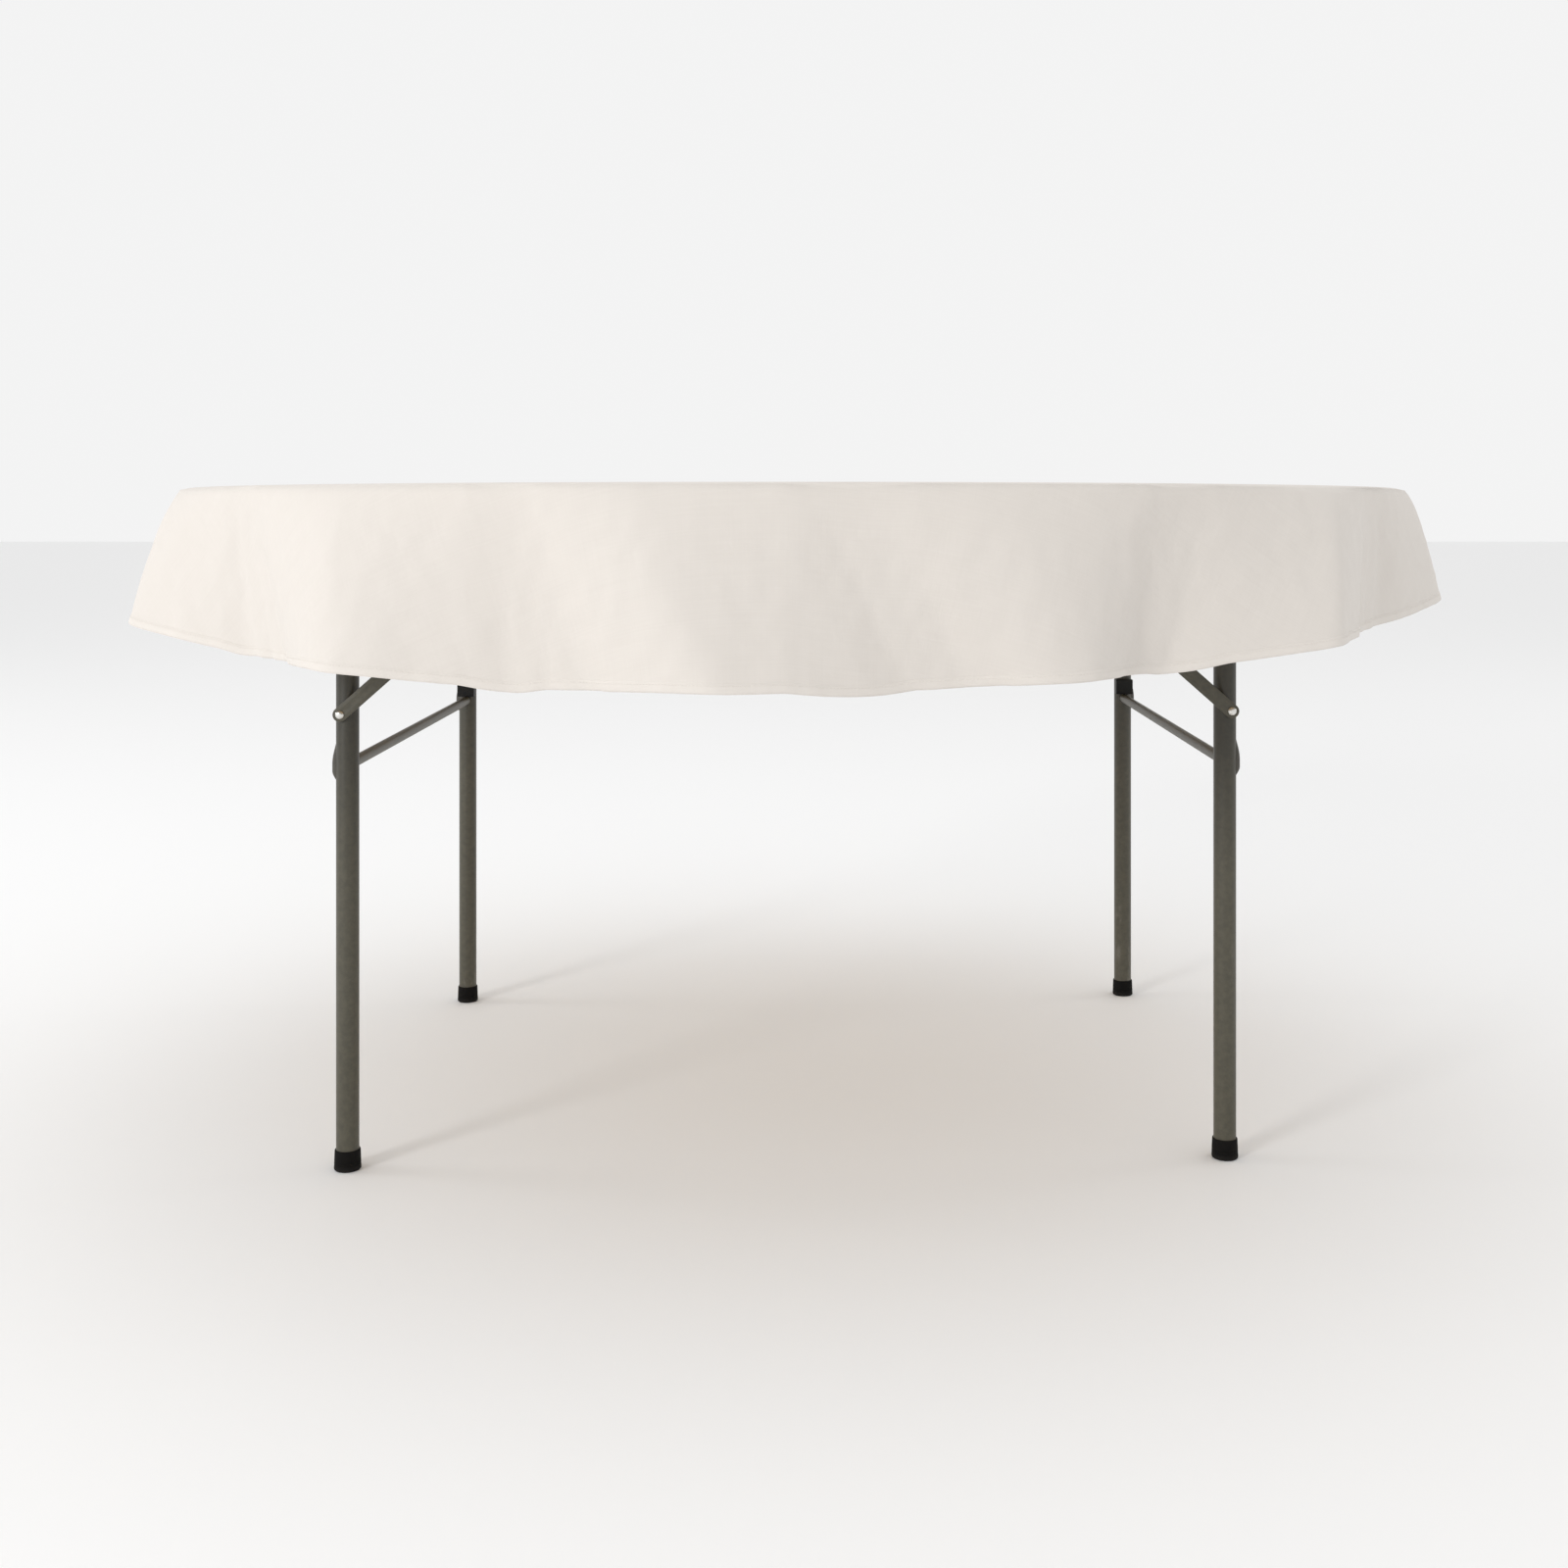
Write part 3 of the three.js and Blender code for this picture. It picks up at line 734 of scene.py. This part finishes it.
def with_flat_sides(flat, grid):
    """The settled cloth with its folds' sides drawn flatter, as a crisp cloth's are."""
    angle = 2 * np.pi * np.arange(grid.shape[1]) / grid.shape[1]
    length = hanging_length(angle)
    past = np.clip(np.linalg.norm(flat[..., :2], axis=-1) - TOP_RADIUS, 0, None) / length
    change = fold_flare(angle, past, flat_sided) - fold_flare(angle, past, round_sided)
    change *= FLATTENING * fullness(length) * past
    # The valleys stay clear of the table's edge.
    room = np.linalg.norm(grid[..., :2], axis=-1) - TOP_RADIUS - 2 * MM
    change = np.maximum(change, -np.clip(room, 0, None))
    moved = grid.copy()
    moved[..., 0] += change * np.sin(angle)
    moved[..., 1] -= change * np.cos(angle)
    return moved


def between_columns(grid):
    """Twice as many columns, on a smooth curve through the old ones."""
    back, ahead, far = np.roll(grid, 1, 1), np.roll(grid, -1, 1), np.roll(grid, -2, 1)
    halfway = (9 * (grid + ahead) - back - far) / 16
    return np.stack([grid, halfway], 2).reshape(grid.shape[0], -1, 3)


def between_rings(grid, first):
    """Twice as many rings from the one given on, on a smooth curve through the old ones."""
    rows = list(grid[:first + 1])
    longer = np.concatenate([grid, [2 * grid[-1] - grid[-2]]])
    for i in range(first, len(grid) - 1):
        rows.append((9 * (grid[i] + grid[i + 1]) - grid[i - 1] - longer[i + 2]) / 16)
        rows.append(grid[i + 1])
    return np.array(rows)


def unit(vectors):
    return vectors / np.maximum(np.linalg.norm(vectors, axis=-1, keepdims=True), 1e-12)


def grid_normals(grid):
    """Outward directions of a [ring, column] grid that runs out from the middle."""
    around = np.roll(grid, -1, 1) - np.roll(grid, 1, 1)
    out = np.gradient(grid, axis=0)
    return unit(np.cross(out, around))


def puckered(flat, grid):
    """Fine gathers where the hem's stitching has drawn the edge in."""
    edge = np.linalg.norm(flat[-1, :, :2] - flat[:, :, :2], axis=-1)
    angle = 2 * np.pi * np.arange(grid.shape[1]) / grid.shape[1]
    phase = 1.3 * np.sin(3 * angle + 0.4) + 0.9 * np.sin(7 * angle + 2.0) + 0.6 * np.sin(17 * angle)
    strength = 0.6 + 0.4 * np.sin(5 * angle + 1.0) * np.sin(2 * angle + 0.3)
    waves = np.sin(190 * angle + 5 * phase + edge * 55)
    finer = 0.45 * np.sin(263 * angle - 4 * phase - edge * 40)
    depth = 0.42 * MM * strength * np.exp(-edge / (16 * MM)) * (waves + finer)
    return grid + depth[..., None] * grid_normals(grid)


def edge_points(grid, distances, offsets):
    """Rows of points at distances up from the hem's edge, moved out from the surface by offsets."""
    tail = grid[::-1][:HEM_RINGS]
    normals = grid_normals(grid)[::-1][:HEM_RINGS]
    steps = np.linalg.norm(np.diff(tail, axis=0), axis=-1)
    up = np.concatenate([np.zeros((1, grid.shape[1])), np.cumsum(steps, 0)])
    past_edge = (tail[0] - tail[1]) / steps[0][:, None]

    def at(values, distance):
        return np.array([[np.interp(distance, up[:, c], values[:, c, axis]) for axis in range(3)]
                         for c in range(grid.shape[1])])

    return np.array([at(tail, distance) + max(-distance, 0) * past_edge + out * at(normals, distance)
                     for distance, out in zip(distances, offsets)])


def hem_band(flat, grid):
    """The rolled hem: a flat loop of cloth round the edge, thicker than the sheet."""
    front = [(HEM_WIDTH, 0.35 * MM), (HEM_WIDTH - 0.6 * MM, 0.85 * MM), (HEM_WIDTH * 0.6, 1.15 * MM),
             (1.6 * MM, 1.2 * MM), (0.2 * MM, 0.95 * MM)]
    section = front + [(-0.5 * MM, 0)] + [(up, -out) for up, out in reversed(front)]
    ups, outs = zip(*section)
    sections = edge_points(grid, ups, outs).swapaxes(0, 1)
    hem = swept("cloth_hem", sections, closed_path=True)
    edge = np.repeat(flat[-1, :, :2], len(section), axis=0)
    map_flat(hem, edge - np.tile(ups, len(sections))[:, None] * unit(edge))
    return hem


def hem_stitches(grid):
    """One row of thread stitches on each face of the hem."""
    pitch, length, radius = 3.4 * MM, 2.5 * MM, 0.33 * MM
    row_height = HEM_WIDTH - 2.2 * MM
    points, faces = [], []
    for out in (1.12 * MM, -1.12 * MM):
        line = edge_points(grid, [row_height], [out])[0]
        inner = edge_points(grid, [row_height], [0])[0]
        steps = np.linalg.norm(np.roll(line, -1, 0) - line, axis=1)
        travelled = np.concatenate([[0], np.cumsum(steps)])
        count = int(travelled[-1] / pitch)
        middles = (np.arange(count) + 0.5) * travelled[-1] / count

        def at(values, where):
            return np.stack([np.interp(where % travelled[-1], travelled, np.append(v, v[0]))
                             for v in values.T], 1)

        starts, ends = at(line, middles - length / 2), at(line, middles + length / 2)
        normals = unit(at(line, middles) - at(inner, middles))
        forward = unit(ends - starts)
        sideways = np.cross(normals, forward)
        for start, end, normal, side in zip(starts, ends, normals, sideways):
            first = len(points)
            points.append(start)
            for share in (0.22, 0.78):
                points += circle(start + (end - start) * share, side, 0.7 * normal, radius, 6)
            points.append(end)
            for k in range(6):
                n = (k + 1) % 6
                a, b, c, d = first + 1 + k, first + 1 + n, first + 7 + k, first + 7 + n
                faces += [(first, b, a), (a, b, d, c), (c, d, first + 13)]
    return object_from("hem_stitches", points, faces)


def make_cloth():
    flat, grid = drape()
    grid = with_flat_sides(flat, grid)
    flat, grid = between_columns(flat), between_columns(grid)
    fine_from = len(flat) - HEM_RINGS
    flat, grid = between_rings(flat, fine_from), between_rings(grid, fine_from)
    grid = puckered(flat, grid)
    cloth = cloth_mesh("round_tablecloth", flat, grid)
    thick = cloth.modifiers.new("thickness", "SOLIDIFY")
    thick.thickness = CLOTH_THICKNESS
    thick.offset = 0
    finish_piece(cloth, "cloth", "linen_cloth", linen(), "tablecloth")
    hem = finish_piece(hem_band(flat, grid), "cloth", "linen_cloth", linen("linen_hem", 1.02))
    stitches = finish_piece(hem_stitches(grid), "cloth", "linen_cloth", thread())


# -------------------- the table top

def make_top():
    low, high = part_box("tabletop_panel")
    radius, edge = high.x, 0.8 * MM
    board = turned("table_board", [
        (0, low.z), (radius - edge, low.z), (radius, low.z + edge),
        (radius, high.z - edge), (radius - edge, high.z), (0, high.z)], 180)
    finish_piece(board, "table_top", "top_wood", BIRCH, "tabletop_panel")
    low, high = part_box("edge_trim")
    inner = radius + GAP
    round_edge = 4 * MM
    bend_x = TOP_RADIUS - round_edge
    profile = [(inner, low.z), *arc(bend_x, low.z + round_edge, round_edge, -90, 0, 5),
               *arc(bend_x, high.z - round_edge, round_edge, 0, 90, 5), (inner, high.z), (inner, low.z)]
    trim = turned("edge_band", profile, 240)
    finish_piece(trim, "table_top", "edge_vinyl", VINYL, "edge_trim")
    for node, name, corner in (("front_runner", "front_rail", 18 * MM),
                               ("back_runner", "back_rail", 18 * MM),
                               ("centre_batten", "middle_batten", 3 * MM)):
        low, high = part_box(node)
        corners = [(low.x, low.y), (high.x, low.y), (high.x, high.y), (low.x, high.y)]
        rail = plate(name, [rounded_outline(corners, corner)], high.z - low.z, 1.6 * MM)
        place(rail, Matrix.Translation((0, 0, (low.z + high.z) / 2)))
        finish_piece(rail, "table_top", "runner_wood", POPLAR, node)
    make_screws()


def screw_head(name, radius=3.6 * MM, height=2.2 * MM):
    """A pan head with a cross recess, turned about Z and pointing to +Z."""
    profile = [(0, 0), (radius, 0)]
    profile += [(radius * math.cos(math.radians(a)), height * math.sin(math.radians(a)) ** 0.8)
                for a in (20, 40, 60, 76)]
    head = turned(name, profile + [(0, height)], 28)
    for turn in (0, math.pi / 2):
        slot = box_object("slot", (-radius * 0.55, -0.45 * MM, height * 0.45),
                          (radius * 0.55, 0.45 * MM, height * 2))
        place(slot, Matrix.Rotation(turn, 4, "Z"))
        boolean(head, slot, "DIFFERENCE")
    return head


def screws_under_top(head, name, places):
    """Copies of a screw head, all pointing down, at the places given."""
    for i, spot in enumerate(places):
        screw = linked(f"{name}_{i + 1}", head.data.copy())
        place(screw, Matrix.Translation(spot) @ Matrix.Rotation(math.pi, 4, "X"))
        finish_piece(screw, "table_top", "rivet_steel", ZINC)


def make_screws():
    head = screw_head("screw_pattern")
    along_rail = (-0.53, -0.18, 0.18, 0.53)
    spots = []
    for node in ("front_runner", "back_runner"):
        low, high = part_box(node)
        spots += [(x, y, low.z) for x in along_rail for y in (low.y + 30 * MM, high.y - 30 * MM)]
    low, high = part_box("centre_batten")
    spots += [((low.x + high.x) / 2, y, low.z) for y in (low.y + 40 * MM, 0, high.y - 40 * MM)]
    screws_under_top(head, "rail_screw", spots)
    spots = []
    for side in SIDES:
        for end in ENDS:
            low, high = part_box(f"{side}_{end}_hinge_saddle")
            flange = high.z - SADDLE_THICKNESS
            spots += [(x, (low.y + high.y) / 2, flange) for x in (low.x + 10 * MM, high.x - 10 * MM)]
            low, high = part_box(f"{side}_{end}_brace_bracket")
            outer = low.y + 8 * MM if low.y < 0 else high.y - 8 * MM
            flange = high.z - BRACKET_THICKNESS
            spots += [(x, outer, flange) for x in (low.x + 8 * MM, high.x - 8 * MM)]
    screws_under_top(head, "fitting_screw", spots)
    bpy.data.objects.remove(head)


# -------------------- the leg frames

def leg_stations(near, far, x):
    """Centre points and directions along one bent tube, up one leg, across and down the other."""
    bend_steps = 12
    stations = [(Vector((x, near, LEG_BOTTOM)), Vector((0, 0, 1)))]
    for end, y in ((-1, near), (1, far)):
        for i in range(bend_steps + 1):
            turn = (i if end < 0 else bend_steps - i) / bend_steps * math.pi / 2
            point = Vector((x, y - end * BEND_RADIUS * (1 - math.cos(turn)),
                            HINGE_Z - BEND_RADIUS * (1 - math.sin(turn))))
            stations.append((point, Vector((0, math.sin(turn), -end * math.cos(turn)))))
    stations.append((Vector((x, far, LEG_BOTTOM)), Vector((0, 0, -1))))
    return stations


def make_leg_frame(side):
    body = f"{side}_leg"
    low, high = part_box(f"{side}_leg_tube")
    stations = leg_stations(low.y + TUBE_RADIUS, high.y - TUBE_RADIUS, (low.x + high.x) / 2)
    across = Vector((1, 0, 0))
    outer, inner = ([circle(p, across, across.cross(d), radius, TUBE_SIDES) for p, d in stations]
                    for radius in (TUBE_RADIUS, TUBE_RADIUS - TUBE_WALL))
    tube = swept(f"{side}_bent_tube", outer + inner[::-1], closed_path=True)
    finish_piece(tube, body, "frame_paint", SHADED_LEG_PAINT, f"{side}_leg_tube")

    _, half, radius = extent(f"{side}_crossbar") / 2
    rod = turned(f"{side}_spreader_rod", [(0, -half), (radius, -half), (radius, half), (0, half)], 32)
    place(rod, Matrix.Translation(middle(f"{side}_crossbar")) @ along_y(1))
    finish_piece(rod, body, "frame_paint", PAINT, f"{side}_crossbar")
    for end in ENDS:
        make_leg_fittings(side, end, radius)


def weld_bead(name, radius):
    """A lumpy fillet round a rod where it meets the side of a leg, which lies along Y here."""
    sections, steps = [], 48
    for i in range(steps):
        turn = 2 * math.pi * i / steps
        spread = 1.5 * MM * (1 + 0.14 * math.sin(11 * turn) + 0.1 * math.sin(17 * turn + 1))
        direction = Vector((math.cos(turn), math.sin(turn), 0))
        depth = math.sqrt(TUBE_RADIUS ** 2 - (radius * math.cos(turn)) ** 2)
        centre = direction * radius + Vector((0, 0, depth))
        sections.append(circle(centre, direction, Vector((0, 0, 1)), spread, 8))
    return swept(name, sections, closed_path=True)


def make_leg_fittings(side, end, rod_radius):
    body = f"{side}_leg"
    name = f"{side}_{end}"
    x, y, _ = middle(f"{name}_foot_cap")
    inward = 1 if end == "front" else -1
    bead = weld_bead(f"{name}_weld", rod_radius)
    place(bead, Matrix.Translation((x, y, middle(f"{side}_crossbar").z)) @ along_y(inward))
    finish_piece(bead, body, "frame_paint", SHADED_LEG_PAINT)
    finish_piece(foot_cap(name, x, y), body, "foot_rubber", RUBBER, f"{name}_foot_cap")
    finish_piece(leg_rivet(name), body, "rivet_steel", ZINC, f"{name}_leg_rivet")
    finish_piece(leg_bumper(name, x), body, "nylon_dark", BUMPER, f"{name}_leg_bumper")
    if end == "back":
        finish_piece(rest_block(name, x, y), body, "nylon_dark", NYLON, f"{name}_rest_block")


def foot_cap(name, x, y):
    """A flared rubber cup with a rolled top lip and two shallow grip grooves."""
    size = extent(f"{name}_foot_cap")
    base, height = size.x / 2, size.z
    top = base - 0.8 * MM
    inside = TUBE_RADIUS + GAP / 2
    profile = [(0, 0), (base - 2.5 * MM, 0), (base - 1.2 * MM, 0.35 * MM), (base - 0.3 * MM, 1.2 * MM),
               (base, 2.5 * MM)]
    for groove in (7 * MM, 10.5 * MM):
        out = base + (top - base) * groove / height
        profile += [(out, groove - 0.7 * MM), (out - 0.45 * MM, groove - 0.3 * MM),
                    (out - 0.45 * MM, groove + 0.3 * MM), (out, groove + 0.7 * MM)]
    profile += [(top, height - 1.6 * MM), (top - 0.15 * MM, height - 0.5 * MM),
                (top - 0.6 * MM, height), (inside + 0.3 * MM, height), (inside, height - 0.5 * MM),
                (inside, 4.3 * MM), (0, 4.3 * MM)]
    cap = turned(f"{name}_rubber_foot", profile, 56, 28)
    return place(cap, Matrix.Translation((x, y, 0)))


def outer_side(node):
    """1 for a node on the back legs and -1 on the front ones: the way to the outside, along Y."""
    return math.copysign(1, middle(node).y)


def turned_rivet(name, profile, node):
    """A rivet turned from its inner end to its outer head, laid into the node's box along Y."""
    rivet = turned(name, profile, 40, 40)
    place(rivet, Matrix.Translation((0, 0, -extent(node).y / 2)))
    return place(rivet, Matrix.Translation(middle(node)) @ along_y(outer_side(node)))


def leg_rivet(name):
    """A semi-tubular rivet through the leg, with a domed head outside its brace."""
    node = f"{name}_leg_rivet"
    length, head = extent(node).y, 0.86 * extent(node).x / 2
    under = length - 2.5 * MM
    profile = [(0, 0.9 * MM), (1.6 * MM, 0.9 * MM), (2.2 * MM, 0.2 * MM), (3.2 * MM, 0),
               (head - 0.6 * MM, 0.7 * MM), (head, 1.5 * MM), (head - 0.3 * MM, 2 * MM),
               (RIVET_SHANK, 2 * MM), (RIVET_SHANK, under), (head - 0.2 * MM, under),
               (head, under + 0.4 * MM), (head * 0.86, under + 1.35 * MM),
               (head * 0.6, under + 2.1 * MM), (head * 0.3, length - 0.05 * MM), (0, length)]
    return turned_rivet(f"{name}_brace_rivet", profile, node)


def leg_bumper(name, x):
    """A low rounded wedge on the outer side of the leg, thickest near its foot end."""
    low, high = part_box(f"{name}_leg_bumper")
    side = math.copysign(1, x)
    surface = TUBE_RADIUS - 2.5 * MM
    reach = max(abs(low.x), abs(high.x)) - abs(x)
    full_from, full_to = 0.16, 0.32
    steps, around = 28, 14
    sections = []
    for i in range(steps + 1):
        part = i / steps
        z = low.z + (high.z - low.z) * part
        rise = min(1.0, part / full_from) ** 0.6
        fall = 0.5 + 0.5 * math.cos(math.pi * max(0.0, part - full_to) / (1 - full_to))
        ring = []
        for k in range(around):
            turn = math.pi * k / (around - 1)
            across = (high.y - low.y) / 2 * math.cos(turn) * (0.75 + 0.25 * fall)
            out = surface + (reach - surface) * rise * fall * max(0.0, math.sin(turn)) ** 0.75
            ring.append(Vector((x + side * out, (low.y + high.y) / 2 + across, z)))
        sections.append(ring)
    bumper = swept(f"{name}_stacking_bumper", sections, sharp=60)
    face_outward(bumper.data)
    return bumper


def rest_block(name, x, y):
    """A moulded nylon block, hollowed to sit against the tube."""
    low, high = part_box(f"{name}_rest_block")
    block = box_object(f"{name}_nylon_block", low, high)
    cutter = turned("tube_cutter", [(0, -1), (TUBE_RADIUS + GAP, -1), (TUBE_RADIUS + GAP, 1), (0, 1)], 64)
    place(cutter, Matrix.Translation((x, y, 0)))
    boolean(block, cutter, "DIFFERENCE")
    return bevelled(block, 1.1 * MM, 3, 50)


# -------------------- braces, saddles and brackets

def joint_place(name):
    return next(Vector(j["pos_m"]) for j in frame["joints"] if j["name"] == name)


def make_brace(side, end):
    """The two links of one brace, placed from the joints that they turn on."""
    name = f"{side}_{end}"
    leg_pivot = joint_place(f"{name}_lower_link_turn")
    top_pivot = joint_place(f"{name}_upper_link_turn")
    line = Vector((top_pivot.x - leg_pivot.x, 0, top_pivot.z - leg_pivot.z))
    knee = middle(f"{name}_knee_rivet")
    lower_length = math.hypot(knee.x - leg_pivot.x, knee.z - leg_pivot.z)
    upper_length = line.length - lower_length
    thickness = extent(f"{name}_lower_brace").y
    for part, pivot, towards, length, holes in (
            ("lower", leg_pivot, line, lower_length, [0]),
            ("upper", top_pivot, -line, upper_length, [0, upper_length])):
        outline = arc(length, 0, LINK_WIDTH / 2, -90, 90, 12) + arc(0, 0, LINK_WIDTH / 2, 90, 270, 12)
        rings = [arc(hole, 0, LINK_HOLE, 0, 360, 28)[:-1] for hole in holes]
        strip = plate(f"{name}_{part}_strut", [outline, *rings], thickness, 0.45 * MM)
        angle = math.atan2(towards.z, towards.x)
        turn = Matrix.Rotation(-angle, 4, "Y") @ Matrix.Rotation(math.pi / 2, 4, "X")
        place(strip, Matrix.Translation((pivot.x, middle(f"{name}_{part}_brace").y, pivot.z)) @ turn)
        finish_piece(strip, f"{name}_{part}_link", "frame_paint", PAINT, f"{name}_{part}_brace")
    for node, label, body in ((f"{name}_knee_rivet", "knee_stud", f"{name}_upper_link"),
                              (f"{name}_bracket_pin", "bracket_stud", "table_top")):
        stud = short_rivet(f"{name}_{label}", node)
        finish_piece(stud, body, "rivet_steel", ZINC, node)


def short_rivet(name, node):
    """A low domed head on a stem that ends flush."""
    length, head = extent(node).y, extent(node).x / 2
    under = length - 1.7 * MM
    profile = [(0, 0), (RIVET_SHANK - 0.3 * MM, 0), (RIVET_SHANK, 0.3 * MM), (RIVET_SHANK, under),
               (head - 0.3 * MM, under), (head, under + 0.3 * MM), (head * 0.88, under + 0.95 * MM),
               (head * 0.6, under + 1.45 * MM), (head * 0.3, length - 0.03 * MM), (0, length)]
    return turned_rivet(name, profile, node)


def make_saddle(side, end):
    """A pressed strap round the hinge bar: flat flanges, and a half round between them."""
    node = f"{side}_{end}_hinge_saddle"
    low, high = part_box(node)
    thickness, flange, bend = SADDLE_THICKNESS, 20 * MM, 2.2 * MM
    inner = TUBE_RADIUS + 0.5 * MM
    outer = inner + thickness
    flat = high.z - HINGE_Z

    def strap_face(radius, bend_radius, level):
        """One face of the strap, from the end of its left flange to the end of its right one."""
        left = [(-outer - flange, level)]
        left += arc(-radius - bend_radius, level - bend_radius, bend_radius, 90, 0, 3)
        right = [(-px, pz) for px, pz in reversed(left)]
        return left + arc(0, 0, radius, 180, 360, 24) + right

    outline = strap_face(outer, bend, flat - thickness) + strap_face(inner, bend + thickness, flat)[::-1]
    x = (low.x + high.x) / 2
    sections = [[Vector((x + px, y, HINGE_Z + pz)) for px, pz in outline] for y in (low.y, high.y)]
    strap = swept(f"{side}_{end}_pipe_strap", sections, sharp=CRISP)
    face_outward(strap.data)
    bevelled(strap, 0.5 * MM, 2, 60)
    finish_piece(strap, "table_top", "frame_paint", PAINT, node)


def make_bracket(side, end):
    """A bent plate: a flange under the rail and an ear down beside the upper link."""
    node = f"{side}_{end}_brace_bracket"
    low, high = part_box(node)
    out = outer_side(node)
    bend = 1.6 * MM
    height, depth = high.z - low.z, high.y - low.y
    under = height - BRACKET_THICKNESS
    outline = [(0, 0), (0, height), (depth, height), (depth, under),
               *arc(BRACKET_THICKNESS + bend, under - bend, bend, 90, 180, 3), (BRACKET_THICKNESS, 0)]
    near = high.y if out < 0 else low.y
    sections = [[Vector((x, near + out * py, low.z + pz)) for py, pz in outline] for x in (low.x, high.x)]
    bracket = swept(f"{side}_{end}_brace_ear", sections, sharp=CRISP)
    face_outward(bracket.data)
    pivot = joint_place(f"{side}_{end}_upper_link_turn")
    half, spare, shoulder = (high.x - low.x) / 2, 1 * MM, high.z - 7 * MM
    shape = [(pivot.x - half, high.z + spare), (pivot.x - half, shoulder),
             *arc(pivot.x, pivot.z, pivot.z - low.z, 180, 360, 18),
             (pivot.x + half, shoulder), (pivot.x + half, high.z + spare)]
    prism = [[Vector((px, y, pz)) for px, pz in shape] for y in (low.y - 10 * spare, high.y + 10 * spare)]
    keep = swept("ear_outline", prism, sharp=CRISP)
    face_outward(keep.data)
    boolean(bracket, keep, "INTERSECT")
    bevelled(bracket, 0.5 * MM, 2, 60)
    finish_piece(bracket, "table_top", "frame_paint", PAINT, node)


# -------------------- build

make_camera()
make_lights()
make_stage()

PAINT = painted_steel()
# The legs' paint, used on the tubes and weld beads, is painted 0.52 as bright from 0.50 m up: painted
# shade from the cloth.
SHADED_LEG_PAINT = painted_steel("leg_paint", upper_shade_tone=0.52)
# The bumper's paint is painted darker towards its top, down to 0.7 at 0.50 m: painted shade from the
# cloth.
BUMPER = painted_steel("bumper_grey", (0.072, 0.066, 0.052), 0.7)
ZINC = plated_steel()
RUBBER = rubber()
NYLON = nylon()
VINYL = edge_vinyl()
BIRCH = wood("birch_ply", (0.50, 0.33, 0.17), (0.66, 0.48, 0.28), 0.22, 2.2, 0.5)
POPLAR = wood("poplar", (0.36, 0.26, 0.14), (0.52, 0.40, 0.24), 0.2, 5.0, 0.6)

make_cloth()
make_top()
for side in SIDES:
    make_leg_frame(side)
    for end in ENDS:
        make_brace(side, end)
        make_saddle(side, end)
        make_bracket(side, end)
